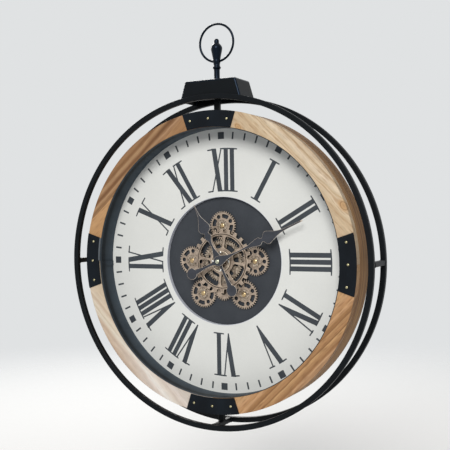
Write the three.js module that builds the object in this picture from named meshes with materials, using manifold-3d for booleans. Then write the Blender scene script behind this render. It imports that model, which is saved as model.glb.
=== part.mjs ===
// A skeleton gear wall clock: two square-bar hoops round a wooden-rimmed case, a deep dial with a
// round window onto a train of bronze gears, spade hands, a crown block, a finial and a pendant ring.
// Millimetres. The clock is laid out on the dial's axis with X right, Y up and Z off the wall, and is
// then stood up so that +Z is up, the front faces -Y and the wall is the plane y = 0.
import * as THREE from "three";
import { mergeVertices } from "three/addons/utils/BufferGeometryUtils.js";
import Module from "manifold-3d";

const wasm = await Module();
wasm.setup();

// Clearances
const seatGap = 0.3; // between pieces that are fastened together
const runGap = 0.4; // round a shaft or an arbor that turns in its hole
const cutOverrun = 1; // how far a cutting tool runs past the face that it cuts
const joinLap = 1; // how far one solid reaches into the one that it is joined to

// Smoothness: steps in a full turn
const largeRoundSteps = 64;
const mediumRoundSteps = 32;
const smallRoundSteps = 16;
const pinRoundSteps = 8;

// A low dome's shoulder, as shares of its radius and of its rise
const domeShoulderRadius = 0.75;
const domeShoulderRise = 0.75;

// Hoops and the bars that join them
const hoopOuterRadius = 300;
const hoopBarRadial = 9.6;
const hoopBarDepth = 9;
const overallDepth = 77.8;
const crossBarWidth = 9;
const postWidth = 10;
const postDepth = 10;

// Wooden front ring and case, which stand inside the hoops with an open gap all round
const hoopToWoodGap = 19.4;
const woodRingWidth = 29.5;
const woodThickness = 16;
const woodSetBack = 3.9;
const caseWallThickness = 9;
const caseBackHeight = 9.9;
const quarterCount = 4;
const stepsPerQuarter = 16;

// Liner, dial and the sunk disc behind the gears
const linerThickness = 1.2;
const linerSetBack = 0.8;
const dialFrontHeight = 28.3;
const dialThickness = 3;
const dialWindowRadius = 118;
const discSinkDepth = 8;
const discSheet = 2;
const discFlangeSheet = 1.5;
const discFlangeWidth = 10;
const discWallMargin = 2;
const backBoardThickness = 3;
const backBoardHeight = 12;
const backBoardMargin = 6;

// Black joint plates over the wood's four joints, as wide as the wood, and their pins
const plateThickness = 1.2;
const plateOuterHalfAngle = THREE.MathUtils.degToRad(11.3);
const plateInnerHalfAngle = THREE.MathUtils.degToRad(10.4);
const plateArcSteps = 6;
const pinHeadRadius = 2.5;
const pinHeadHeight = 1.6;
const pinHeadEdge = 0.5;
const pinSpacingAngle = THREE.MathUtils.degToRad(8.3);
const pinsPerPlate = 3;

// Crown block, finial, pendant ring and hanger
const crownRise = 27;
const crownLap = 10;
const crownBottomHalfWidth = 62;
const crownTopHalfWidth = 51;
const crownSheet = 2;
const ringWireRadius = 2.1;
const ringRadius = 34;
const ringAxisRise = 35.2;
const ringHolePlay = 1;
const ringSteps = 40;
const ringSectionSides = 8;
// Each pair is the finial's radius and its rise above the foot
const finialProfile = [
  [0, 0], [8, 0], [8, 3], [5.3, 4.5], [5.3, 21], [7, 24], [7, 26], [5.8, 28.5], [5.8, 31], [6.7, 35],
  [6.7, 38], [8.9, 50], [10.5, 59], [9, 63.5], [6, 67], [4.4, 70], [4.5, 73], [3, 76], [0, 77],
];
const hangerWidth = 54;
const hangerHeight = 22;
const hangerSheet = 2;
const hangerMargin = 0.8;
const keyholeRadius = 5.2;
const keyholeSlotRadius = 2.6;
const keyholeDrop = 9;
const keyholeSteps = 12;
const hangerWindowMargin = 2;

// Gear train. The fine gears share one module and one plane; the coarse gear is in front of them.
const gearModule = 1.42;
const satelliteTeeth = 36;
const sunTeeth = 55;
const pinionTeeth = 23;
const meshSlack = 0.3;
const fineAddendum = 1.28;
const fineDedendum = 1.8;
const fineTipHalfWidth = 0.28;
const fineGearThickness = 2;
const fineGearLift = 2.6;
const coarseTeeth = 24;
const coarseRimRadius = 52;
const coarseToothHeight = 7;
const coarseGearThickness = 2.5;
const coarseGearGap = 3.5;
const coarseToothTipShare = 0.36;
const coarseToothFootShare = 0.52;
const rimWindowOuterRadius = 47;
const hubRingOuterRadius = 24;
const hubRingInnerRadius = 18;
const hubRingRise = 1.2;
const grooveRadius = 49.4;
const grooveWidth = 1.4;
const grooveDepth = 0.7;
const wideWindow = [8.5, 53.5].map(THREE.MathUtils.degToRad);
const narrowWindow = [62.5, 91.5].map(THREE.MathUtils.degToRad);
const windowSteps = 4;
const windowCornerRadius = 4.5;
const windowCornerSteps = 2;
const spokeTurn = THREE.MathUtils.degToRad(2);
const sunWindowInnerRadius = 18;
const sunWindowOuterRadius = 31.5;
const sunWindowHalfAngle = THREE.MathUtils.degToRad(17);
const sunWindowTurn = THREE.MathUtils.degToRad(57);
const sunWindowCount = 6;
const slotInnerRadius = 14.2;
const slotOuterRadius = 21.2;
const slotHalfAngle = THREE.MathUtils.degToRad(22);
const slotSteps = 3;
const roundHoleRadius = 3.4;
const roundHoleCircle = 17.8;
const roundHoleSides = 6;
const slotCount = 4;
// Teeth that each satellite is turned on by, which turns its slots and keeps it in mesh
const satelliteTeethOn = { right: 4, top: 2, left: 3, lower_right: 0, lower_left: 1 };
const hubDomeRadius = 12.5;
const hubDomeFlatRadius = 8.4;
const hubDomeEdge = 0.65;
const hubDomeRise = 1.3;
const satelliteBoreRadius = 2.4;
const satelliteCapRadius = 4.4;
const satelliteCapRise = 1.5;
const satelliteCapEdge = 0.5;
const satelliteFootRadius = 4.4;
const lowerSatelliteX = 41.9;
const motorShaftRadius = 1.6;
const motorShaftProud = 1;

// Centre tube that the coarse gear and the sun gear turn on, and the bridge screwed on its end
const tubeOuterRadius = 6.5;
const tubeInnerRadius = 5;
const tubeFlangeRadius = 11;
const tubeFlangeThickness = 1.6;
const bridgeRadius = 19.4;
const bridgeThickness = 2;
const bridgeGap = 1.2;
const bridgeScrewCircle = 16.2;
const bridgeScrewRadius = 2.3;
const bridgeScrewRise = 1.9;
const bridgeScrewEdge = 0.8;
const bridgeScrewCount = 4;
const bridgeWindowInner = 8.5;
const bridgeWindowOuter = 12.8;
const bridgeWindowHalfAngle = THREE.MathUtils.degToRad(28);
const bridgeWindowSteps = 3;

// Hands: each pair is a distance along the hand and half its width there
const minuteAngle = THREE.MathUtils.degToRad(66.2);
const hourAngle = THREE.MathUtils.degToRad(334.2);
const handThickness = 1;
const hourHandHeight = 41.9;
const minuteHandHeight = 46.9;
const minuteBlade = [
  [-7, 4.6], [-3, 8], [2, 9.4], [8, 8.4], [17, 5.4], [30, 2.5], [44, 1.2], [65, 2.2], [80, 5.2], [91, 7.2],
  [95, 4.4], [98, 3.4], [101, 5.6], [104.5, 10.2], [108.5, 11.9], [112.5, 10.9], [126, 5.3], [138, 2.3],
  [152, 1.1], [181.5, 0.4],
];
const hourBlade = [
  [-7, 4.6], [-3, 8], [2, 9.2], [8, 8], [17, 5], [28, 2.3], [39, 2.8], [48, 6.8], [51, 7], [54, 5.2],
  [56.5, 4.6], [59, 7.5], [62.5, 11.4], [66.5, 12.5], [70, 11.7], [82, 6.2], [91, 2.7], [101, 1.1],
  [115.4, 0.4],
];
const handTail = [[-46, 4.6], [-36, 3], [-22, 2.4], [-12, 2.8]];
const tailDiscDistance = 58.5;
const tailDiscRadius = 10.3;
const tailDiscSteps = 14;
const minuteArborRadius = 1.6;
const hourPipeWall = 0.9;
const hourPipeProud = 0.6;
const handNutRadius = 4;
const handNutRise = 2.2;
const handNutEdge = 1.1;

// Time movement and gear motor unit, behind the disc
const movementSide = 56;
const movementDepth = 15.2;
const movementBushWall = 1.2;
const cellRadius = 6.9;
const cellLength = 50.5;
const cellNubRadius = 2.7;
const cellNubLength = 1.2;
const bayClearance = 0.5;
const cellRest = 0.4; // between a cell and the floor of its bay
const movementBayZ = -16;
const setKnobZ = 13;
const setKnobRadius = 7;
const setKnobThickness = 1.9;
const setKnobStemRadius = 1.5;
const setKnobStemLength = 5;
const unitWidth = 66;
const unitHeight = 62;
const unitDepth = 16.2;
const unitGap = 5;
const unitBayDrop = 18;
const doorThickness = 1;
const doorHeight = 18;
const doorLength = 58;
const doorTrack = 1.4;

// Derived places, measured off the wall plane
const hoopInnerRadius = hoopOuterRadius - hoopBarRadial;
const woodOuterRadius = hoopInnerRadius - hoopToWoodGap;
const woodInnerRadius = woodOuterRadius - woodRingWidth;
const woodFrontHeight = overallDepth - woodSetBack;
const crownTopZ = hoopOuterRadius + crownRise;
const crownBottomZ = hoopOuterRadius - crownLap;
const finialFootZ = crownTopZ + seatGap;
const ringAxisZ = finialFootZ + ringAxisRise;
const unitCentreDrop = movementSide / 2 + unitGap + unitHeight / 2;
const betweenHoops = overallDepth - 2 * hoopBarDepth - 2 * seatGap;
const linerInnerRadius = woodInnerRadius + linerSetBack;
const discFront = dialFrontHeight - discSinkDepth;
const discBack = discFront - discSheet;
const fineGearBack = discFront + fineGearLift;
const fineGearFront = fineGearBack + fineGearThickness;
const coarseGearBack = fineGearFront + coarseGearGap;
const coarseGearFront = coarseGearBack + coarseGearThickness;
const gearBoreRadius = tubeOuterRadius + runGap;
const sunPitchRadius = (gearModule * sunTeeth) / 2;
const satellitePitchRadius = (gearModule * satelliteTeeth) / 2;
const pinionPitchRadius = (gearModule * pinionTeeth) / 2;
const satelliteDistance = sunPitchRadius + satellitePitchRadius + meshSlack;
const pinionDrop = sunPitchRadius + pinionPitchRadius + meshSlack;
const lowerReach = pinionPitchRadius + satellitePitchRadius + meshSlack;
const lowerSatelliteDrop = pinionDrop + Math.sqrt(lowerReach ** 2 - lowerSatelliteX ** 2);
const hourPipeInner = minuteArborRadius + runGap;
const hourPipeOuter = hourPipeInner + hourPipeWall;
const bushInner = hourPipeOuter + runGap;
const bushOuter = bushInner + movementBushWall;
const bridgeBack = coarseGearFront + hubRingRise + bridgeGap;
const movementFront = discBack - seatGap;
const movementBack = movementFront - movementDepth;
const unitBack = movementFront - unitDepth;
const cellHeight = movementBack + cellRadius + seatGap + cellRest;
const unitCellHeight = unitBack + doorThickness + seatGap + cellRadius + cellRest;
const hangerMiddleZ = hoopOuterRadius + hangerMargin + hangerHeight / 2;
const hangerBack = hoopBarDepth - hangerSheet;
const keyholeTopZ = hangerMiddleZ + hangerHeight / 4;

// Materials
function finish(color, roughness, metalness) {
  return new THREE.MeshStandardMaterial({ color, roughness, metalness });
}
const blackSteel = finish(0x12161a, 0.45, 0.3);
const plateSteel = finish(0x171b20, 0.4, 0.3);
const paleBrass = finish(0xc8c2a0, 0.3, 0.9);
const wood = [0xd6bd9c, 0xb08a62, 0xdccdba, 0xb18a62].map((tone) => finish(tone, 0.6, 0));
const sideWood = finish(0x9a7c5c, 0.65, 0);
const linerPaint = finish(0x363d42, 0.5, 0.1);
const dialCard = finish(0xdadbd7, 0.7, 0);
const discPaint = finish(0x3d4048, 0.55, 0.1);
const antiqueBronze = finish(0xa69280, 0.5, 0.6);
const goldCap = finish(0xb8935a, 0.35, 0.8);
const silver = finish(0xc4c6c8, 0.25, 0.9);
const handPaint = finish(0x3a3d45, 0.45, 0.2);
const blackPlastic = finish(0x202124, 0.6, 0);
const hardboard = finish(0x6a5138, 0.8, 0);
const cellJacket = finish(0x8a8f96, 0.35, 0.5);

// The clock, on its dial's axis
const clock = new THREE.Group();

function addPiece(name, geometry, material, parent = clock) {
  const mesh = new THREE.Mesh(geometry, material);
  mesh.name = name;
  parent.add(mesh);
  return mesh;
}

// A flat piece cut from sheet or board, lying between two heights off the wall
function sheetPiece(shape, back, thickness) {
  const options = { depth: thickness, bevelEnabled: false, curveSegments: 1 };
  return new THREE.ExtrudeGeometry(shape, options).translate(0, 0, back);
}

// A turned piece on the Z axis, from [radius, height] points
function turnedPiece(profile, steps) {
  const points = profile.map(([radius, height]) => new THREE.Vector2(radius, height));
  return new THREE.LatheGeometry(points, steps).rotateX(Math.PI / 2);
}

// The end of a turned profile that rises from an edge, over a shoulder, to a low dome's top
function domedEnd(radius, edge, top) {
  const shoulder = edge + (top - edge) * domeShoulderRise;
  return [[radius, edge], [radius * domeShoulderRadius, shoulder], [0, top]];
}

// A closed ring of rectangular section
function ringProfile(inner, outer, back, front) {
  return [[inner, back], [outer, back], [outer, front], [inner, front], [inner, back]];
}

function boxPiece(width, height, depth, x, y, back) {
  return new THREE.BoxGeometry(width, height, depth).translate(x, y, back + depth / 2);
}

function solidOf(geometry) {
  const bare = geometry.clone();
  bare.deleteAttribute("normal");
  bare.deleteAttribute("uv");
  const merged = mergeVertices(bare, 1e-4);
  const vertProperties = merged.attributes.position.array;
  const triVerts = new Uint32Array(merged.index.array);
  return new wasm.Manifold(new wasm.Mesh({ numProp: 3, vertProperties, triVerts }));
}

function geometryOf(solid) {
  const mesh = solid.getMesh();
  const geometry = new THREE.BufferGeometry();
  geometry.setAttribute("position", new THREE.BufferAttribute(mesh.vertProperties, 3));
  geometry.setIndex(new THREE.BufferAttribute(mesh.triVerts, 1));
  return geometry;
}

function joined(...geometries) {
  return geometryOf(geometries.map(solidOf).reduce((sum, next) => sum.add(next)));
}

function cutAway(geometry, ...tools) {
  return geometryOf(tools.map(solidOf).reduce((rest, tool) => rest.subtract(tool), solidOf(geometry)));
}

function polar(radius, angle) {
  return new THREE.Vector2(radius * Math.cos(angle), radius * Math.sin(angle));
}

function circlePoints(radius, steps, cx = 0, cy = 0) {
  return Array.from({ length: steps }, (_, i) => {
    return polar(radius, (2 * Math.PI * i) / steps).add(new THREE.Vector2(cx, cy));
  });
}

// The outline of a band between two radii and two angles
function bandPoints(inner, outer, from, to, steps, outerFrom = from, outerTo = to) {
  const points = [];
  for (let i = 0; i <= steps; i++) {
    points.push(polar(outer, outerFrom + ((outerTo - outerFrom) * i) / steps));
  }
  for (let i = steps; i >= 0; i--) {
    points.push(polar(inner, from + ((to - from) * i) / steps));
  }
  return points;
}

function shapeOf(points, holes = []) {
  const shape = new THREE.Shape(points);
  for (const hole of holes) shape.holes.push(new THREE.Path(hole));
  return shape;
}

// Hoops of square bar, the bars across them and the posts that carry the case
function addHoops() {
  const front = overallDepth - hoopBarDepth;
  const barLength = betweenHoops;
  const barMid = hoopOuterRadius - hoopBarRadial / 2;
  addPiece("back_hoop", turnedPiece(ringProfile(hoopInnerRadius, hoopOuterRadius, 0, hoopBarDepth),
    largeRoundSteps), blackSteel);
  addPiece("front_hoop", turnedPiece(ringProfile(hoopInnerRadius, hoopOuterRadius, front, overallDepth),
    largeRoundSteps), blackSteel);
  const barBack = hoopBarDepth + seatGap;
  const bar = hoopBarRadial;
  addPiece("cross_bar_right", boxPiece(bar, crossBarWidth, barLength, barMid, 0, barBack), blackSteel);
  addPiece("cross_bar_left", boxPiece(bar, crossBarWidth, barLength, -barMid, 0, barBack), blackSteel);
  addPiece("cross_bar_bottom", boxPiece(crossBarWidth, bar, barLength, 0, -barMid, barBack), blackSteel);
}

function addPosts() {
  const foot = woodOuterRadius + seatGap;
  const lowerEnd = hoopInnerRadius - seatGap;
  const upperEnd = crownTopZ - crownSheet - seatGap;
  const back = overallDepth / 2 - postDepth / 2;
  const lower = boxPiece(postWidth, lowerEnd - foot, postDepth, 0, -(foot + lowerEnd) / 2, back);
  const upper = boxPiece(postWidth, upperEnd - foot, postDepth, 0, (foot + upperEnd) / 2, back);
  addPiece("post_bottom", lower, blackSteel);
  addPiece("post_top", upper, blackSteel);
}

// Wooden front ring in four quarters, jointed at 12, 3, 6 and 9
function addWoodRing() {
  const names = ["wood_upper_right", "wood_upper_left", "wood_lower_left", "wood_lower_right"];
  const halfGapAngle = seatGap / 2 / woodInnerRadius;
  for (let q = 0; q < quarterCount; q++) {
    const from = (q * Math.PI) / 2 + halfGapAngle;
    const to = ((q + 1) * Math.PI) / 2 - halfGapAngle;
    const outline = bandPoints(woodInnerRadius, woodOuterRadius, from, to, stepsPerQuarter);
    const back = woodFrontHeight - woodThickness;
    addPiece(names[q], sheetPiece(shapeOf(outline), back, woodThickness), wood[q]);
  }
}

function addCase() {
  const front = woodFrontHeight - woodThickness - seatGap;
  const caseInner = woodOuterRadius - caseWallThickness;
  addPiece("case_side", turnedPiece(ringProfile(caseInner, woodOuterRadius, caseBackHeight, front),
    largeRoundSteps), sideWood);
  addPiece("rim_liner", turnedPiece(ringProfile(linerInnerRadius, linerInnerRadius + linerThickness,
    dialFrontHeight + seatGap, front), largeRoundSteps), linerPaint);
  addPiece("dial_board", turnedPiece(ringProfile(dialWindowRadius, caseInner - seatGap,
    dialFrontHeight - dialThickness, dialFrontHeight), largeRoundSteps), dialCard);
  const boardRadius = caseInner - seatGap;
  const halfWidth = unitWidth / 2 + backBoardMargin;
  const top = movementSide / 2 + backBoardMargin;
  const bottom = -(unitCentreDrop + unitHeight / 2 + backBoardMargin);
  const opening = [[-halfWidth, bottom], [-halfWidth, top], [halfWidth, top], [halfWidth, bottom]];
  const hole = opening.map(([x, y]) => new THREE.Vector2(x, y));
  const board = shapeOf(circlePoints(boardRadius, largeRoundSteps), [hole]);
  addPiece("back_board", sheetPiece(board, backBoardHeight, backBoardThickness), hardboard);
}

// The dark pressed disc: a shallow dish whose flange is screwed behind the dial's window
function addSunkDisc() {
  const flangeFront = dialFrontHeight - dialThickness - seatGap;
  const wallInner = dialWindowRadius + discWallMargin;
  const wallOuter = wallInner + discFlangeSheet;
  const flangeOuter = wallOuter + discFlangeWidth;
  const dish = turnedPiece([
    [bushOuter + runGap, discBack], [wallOuter, discBack], [wallOuter, flangeFront - discFlangeSheet],
    [flangeOuter, flangeFront - discFlangeSheet], [flangeOuter, flangeFront], [wallInner, flangeFront],
    [wallInner, discFront], [bushOuter + runGap, discFront], [bushOuter + runGap, discBack],
  ], largeRoundSteps);
  const holeRadius = motorShaftRadius + runGap;
  const shaftHole = turnedPiece([
    [0, discBack - cutOverrun], [holeRadius, discBack - cutOverrun],
    [holeRadius, discFront + cutOverrun], [0, discFront + cutOverrun],
  ], pinRoundSteps).translate(0, -pinionDrop, 0);
  addPiece("sunk_disc", cutAway(dish, shaftHole), discPaint);
}

// Black plates over the wood's joints, each held by three domed pins
function addJointPlates() {
  const names = ["right", "top", "left", "bottom"];
  const plateBack = woodFrontHeight + seatGap;
  const pinBack = plateBack + plateThickness + seatGap;
  const inner = woodInnerRadius;
  const outer = woodOuterRadius;
  for (let q = 0; q < quarterCount; q++) {
    const mid = (q * Math.PI) / 2;
    const outline = bandPoints(inner, outer, mid - plateInnerHalfAngle, mid + plateInnerHalfAngle,
      plateArcSteps, mid - plateOuterHalfAngle, mid + plateOuterHalfAngle);
    addPiece("plate_" + names[q], sheetPiece(shapeOf(outline), plateBack, plateThickness), plateSteel);
    for (let p = 0; p < pinsPerPlate; p++) {
      const spot = polar((inner + outer) / 2, mid + (p - 1) * pinSpacingAngle);
      const profile = [[0, 0], [pinHeadRadius, 0], ...domedEnd(pinHeadRadius, pinHeadEdge, pinHeadHeight)];
      const head = turnedPiece(profile, pinRoundSteps);
      addPiece("pin_" + names[q] + "_" + (p + 1), head, paleBrass).position.set(spot.x, spot.y, pinBack);
    }
  }
}

// Crown block: a pressed box, open below, between the hoops
function crownOutline(inset) {
  const slope = (crownBottomHalfWidth - crownTopHalfWidth) / (crownTopZ - crownBottomZ);
  const top = crownTopZ - inset;
  const bottom = inset ? crownBottomZ - cutOverrun : crownBottomZ;
  const topHalf = crownTopHalfWidth + slope * inset - inset;
  const bottomHalf = topHalf + slope * (top - bottom);
  return shapeOf([[-bottomHalf, bottom], [bottomHalf, bottom], [topHalf, top], [-topHalf, top]]
    .map(([x, y]) => new THREE.Vector2(x, y)));
}

function addCrown() {
  const back = hoopBarDepth + seatGap;
  const outer = sheetPiece(crownOutline(0), back, betweenHoops);
  const inner = sheetPiece(crownOutline(crownSheet), back + crownSheet, betweenHoops - 2 * crownSheet);
  const windowWidth = 2 * (keyholeRadius + hangerWindowMargin);
  const windowHeight = keyholeDrop + windowWidth;
  const window = boxPiece(windowWidth, windowHeight, 2 * crownSheet, 0, keyholeTopZ - keyholeDrop / 2,
    back - crownSheet / 2);
  addPiece("crown_block", cutAway(outer, inner, window), blackSteel);
}

// A steel strip behind the crown block with the keyhole that the clock hangs from
function addHanger() {
  const halfWidth = hangerWidth / 2;
  const outline = [[-1, -1], [1, -1], [1, 1], [-1, 1]].map(([x, y]) => {
    return new THREE.Vector2(x * halfWidth, hangerMiddleZ + (y * hangerHeight) / 2);
  });
  const centre = keyholeTopZ - keyholeDrop;
  const keyhole = [];
  const neck = Math.asin(keyholeSlotRadius / keyholeRadius);
  const lowerArc = 2 * Math.PI - 2 * neck;
  for (let i = 0; i <= keyholeSteps; i++) {
    const angle = Math.PI / 2 + neck + (lowerArc * i) / keyholeSteps;
    keyhole.push(polar(keyholeRadius, angle).add(new THREE.Vector2(0, centre)));
  }
  const slotEndSteps = keyholeSteps / 2;
  for (let i = 0; i <= slotEndSteps; i++) {
    const spot = polar(keyholeSlotRadius, (Math.PI * i) / slotEndSteps);
    keyhole.push(spot.add(new THREE.Vector2(0, keyholeTopZ - keyholeSlotRadius)));
  }
  addPiece("hanger_plate", sheetPiece(shapeOf(outline, [keyhole]), hangerBack, hangerSheet), silver);
}

// Turned finial on the crown block, drilled across for the ring
function addFinial() {
  const body = turnedPiece(finialProfile, smallRoundSteps).rotateX(-Math.PI / 2);
  body.translate(0, finialFootZ, overallDepth / 2);
  const reach = Math.max(...finialProfile.map(([radius]) => radius)) + cutOverrun;
  const holeRadius = ringWireRadius + ringHolePlay;
  const drill = turnedPiece([[0, -reach], [holeRadius, -reach], [holeRadius, reach], [0, reach]],
    smallRoundSteps).rotateY(Math.PI / 2);
  drill.translate(0, ringAxisZ, overallDepth / 2);
  addPiece("finial", cutAway(body, drill), blackSteel);
}

function addPendantRing() {
  const ring = new THREE.TorusGeometry(ringRadius, ringWireRadius, ringSectionSides, ringSteps);
  addPiece("pendant_ring", ring, blackSteel).position.set(0, ringAxisZ + ringRadius, overallDepth / 2);
}

// Teeth that run to a point at the root, as on the fine gears
function fineToothOutline(teeth) {
  const pitchRadius = (gearModule * teeth) / 2;
  const tip = pitchRadius + fineAddendum;
  const root = pitchRadius - fineDedendum;
  const pitch = (2 * Math.PI) / teeth;
  const half = fineTipHalfWidth / tip;
  const points = [];
  for (let i = 0; i < teeth; i++) {
    points.push(polar(tip, i * pitch - half));
    points.push(polar(tip, i * pitch + half));
    points.push(polar(root, (i + 0.5) * pitch));
  }
  return points;
}

function coarseToothOutline() {
  const pitch = (2 * Math.PI) / coarseTeeth;
  const tip = coarseRimRadius + coarseToothHeight;
  const points = [];
  for (let i = 0; i < coarseTeeth; i++) {
    const mid = i * pitch;
    points.push(polar(coarseRimRadius, mid - (coarseToothFootShare * pitch) / 2));
    points.push(polar(tip, mid - (coarseToothTipShare * pitch) / 2));
    points.push(polar(tip, mid + (coarseToothTipShare * pitch) / 2));
    points.push(polar(coarseRimRadius, mid + (coarseToothFootShare * pitch) / 2));
  }
  return points;
}

// The turn that puts a gear in mesh with another: a gap faces a tooth on the line of centres
function meshedTurn(turn, teeth, ownTeeth, direction) {
  const pitch = (2 * Math.PI) / teeth;
  const ownPitch = (2 * Math.PI) / ownTeeth;
  return direction + Math.PI + ownPitch * (0.5 - (turn - direction) / pitch);
}

function satelliteGeometry() {
  const holes = [circlePoints(satelliteBoreRadius, pinRoundSteps)];
  for (let i = 0; i < slotCount; i++) {
    const angle = (i * 2 * Math.PI) / slotCount;
    const between = angle + Math.PI / slotCount;
    const spot = polar(roundHoleCircle, between);
    holes.push(bandPoints(slotInnerRadius, slotOuterRadius, angle - slotHalfAngle, angle + slotHalfAngle,
      slotSteps));
    holes.push(circlePoints(roundHoleRadius, roundHoleSides, spot.x, spot.y));
  }
  const plate = sheetPiece(shapeOf(fineToothOutline(satelliteTeeth), holes), 0, fineGearThickness);
  const low = fineGearThickness - joinLap;
  const top = fineGearThickness + hubDomeRise;
  const dome = turnedPiece([
    [satelliteBoreRadius, low], [hubDomeRadius, low], [hubDomeRadius, fineGearThickness + hubDomeEdge],
    [hubDomeFlatRadius, top], [satelliteBoreRadius, top], [satelliteBoreRadius, low],
  ], smallRoundSteps);
  return joined(plate, dome);
}

// The stud that a satellite turns on, with its foot on the disc and a domed cap
function satelliteStudGeometry() {
  const foot = seatGap;
  const pinRadius = satelliteBoreRadius - runGap;
  const capBack = fineGearLift + fineGearThickness + hubDomeRise + seatGap;
  return turnedPiece([
    [0, foot], [satelliteFootRadius, foot], [satelliteFootRadius, fineGearLift - seatGap],
    [pinRadius, fineGearLift - seatGap], [pinRadius, capBack], [satelliteCapRadius, capBack],
    ...domedEnd(satelliteCapRadius, capBack + satelliteCapEdge, capBack + satelliteCapRise),
  ], pinRoundSteps);
}

function addSatellite(name, x, y, turn) {
  const gear = satelliteGeometry();
  const mesh = addPiece("satellite_" + name, gear, antiqueBronze);
  mesh.rotation.z = turn + (satelliteTeethOn[name] * 2 * Math.PI) / satelliteTeeth;
  mesh.position.set(x, y, fineGearBack);
  addPiece("stud_" + name, satelliteStudGeometry(), goldCap).position.set(x, y, discFront);
}

function addGearTrain() {
  const sunTurn = 0;
  for (const [name, direction] of [["right", 0], ["top", Math.PI / 2], ["left", Math.PI]]) {
    const spot = polar(satelliteDistance, direction);
    addSatellite(name, spot.x, spot.y, meshedTurn(sunTurn, sunTeeth, satelliteTeeth, direction));
  }
  const down = -Math.PI / 2;
  const pinionTurn = meshedTurn(sunTurn, sunTeeth, pinionTeeth, down);
  for (const [name, side] of [["lower_right", 1], ["lower_left", -1]]) {
    const direction = Math.atan2(pinionDrop - lowerSatelliteDrop, side * lowerSatelliteX);
    const turn = meshedTurn(pinionTurn, pinionTeeth, satelliteTeeth, direction);
    addSatellite(name, side * lowerSatelliteX, -lowerSatelliteDrop, turn);
  }
  addPinion(pinionTurn);
  addSunGear(sunTurn);
  addCoarseGear();
}

// Drive pinion on the motor's shaft, which reaches back into the motor unit
function addPinion(turn) {
  const shaftBack = movementFront - unitDepth / 2 + seatGap;
  const plate = sheetPiece(shapeOf(fineToothOutline(pinionTeeth)), fineGearBack, fineGearThickness);
  const shaftFront = fineGearFront + motorShaftProud;
  const shaft = turnedPiece([
    [0, shaftBack], [motorShaftRadius, shaftBack], [motorShaftRadius, shaftFront], [0, shaftFront],
  ], pinRoundSteps);
  const mesh = addPiece("drive_pinion", joined(plate, shaft), antiqueBronze);
  mesh.rotation.z = turn;
  mesh.position.y = -pinionDrop;
}

// Fine gear behind the coarse one, pierced so that the disc shows through
function addSunGear(turn) {
  const holes = [circlePoints(gearBoreRadius, smallRoundSteps)];
  for (let i = 0; i < sunWindowCount; i++) {
    const middle = sunWindowTurn + (i * 2 * Math.PI) / sunWindowCount;
    holes.push(bandPoints(sunWindowInnerRadius, sunWindowOuterRadius, middle - sunWindowHalfAngle,
      middle + sunWindowHalfAngle, slotSteps));
  }
  const plate = sheetPiece(shapeOf(fineToothOutline(sunTeeth), holes), fineGearBack, fineGearThickness);
  const hubFront = coarseGearBack - seatGap;
  const hub = turnedPiece(ringProfile(gearBoreRadius, tubeFlangeRadius, fineGearFront - joinLap, hubFront),
    smallRoundSteps);
  addPiece("sun_gear", joined(plate, hub), antiqueBronze).rotation.z = turn;
}

// A window between two radii and two angles, with rounded corners
function roundedWindow(inner, outer, from, to) {
  const corner = windowCornerRadius;
  const points = [];
  const addCorner = (radius, angle, firstTurn) => {
    const centre = polar(radius, angle);
    for (let i = 0; i <= windowCornerSteps; i++) {
      const turn = angle + firstTurn + ((Math.PI / 2) * i) / windowCornerSteps;
      points.push(polar(corner, turn).add(centre));
    }
  };
  const outerInset = corner / (outer - corner);
  const innerInset = corner / (inner + corner);
  addCorner(outer - corner, from + outerInset, -Math.PI / 2);
  for (let i = 1; i < windowSteps; i++) {
    points.push(polar(outer, from + outerInset + ((to - from - 2 * outerInset) * i) / windowSteps));
  }
  addCorner(outer - corner, to - outerInset, 0);
  addCorner(inner + corner, to - innerInset, Math.PI / 2);
  addCorner(inner + corner, from + innerInset, Math.PI);
  return points;
}

// Large spoked gear with square teeth and a groove round its rim
function addCoarseGear() {
  const holes = [circlePoints(gearBoreRadius, smallRoundSteps)];
  for (let q = 0; q < quarterCount; q++) {
    const start = Math.PI / 2 - spokeTurn - (q * Math.PI) / 2;
    for (const [from, to] of [wideWindow, narrowWindow]) {
      holes.push(roundedWindow(hubRingOuterRadius, rimWindowOuterRadius, start - to, start - from));
    }
  }
  const plate = sheetPiece(shapeOf(coarseToothOutline(), holes), coarseGearBack, coarseGearThickness);
  const groove = turnedPiece(ringProfile(grooveRadius - grooveWidth / 2, grooveRadius + grooveWidth / 2,
    coarseGearFront - grooveDepth, coarseGearFront + cutOverrun), mediumRoundSteps);
  const hub = turnedPiece(ringProfile(hubRingInnerRadius, hubRingOuterRadius - seatGap,
    coarseGearFront - joinLap, coarseGearFront + hubRingRise), mediumRoundSteps);
  const gear = joined(cutAway(plate, groove), hub);
  addPiece("coarse_gear", gear, antiqueBronze);
}

// The fixed tube that carries both centre gears, and the bridge on its end
function addCentreTube() {
  const back = discFront + seatGap;
  const front = bridgeBack - seatGap;
  const tube = turnedPiece([
    [tubeInnerRadius, back], [tubeFlangeRadius, back], [tubeFlangeRadius, back + tubeFlangeThickness],
    [tubeOuterRadius, back + tubeFlangeThickness], [tubeOuterRadius, front], [tubeInnerRadius, front],
    [tubeInnerRadius, back],
  ], smallRoundSteps);
  addPiece("centre_tube", tube, goldCap);
}

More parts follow.
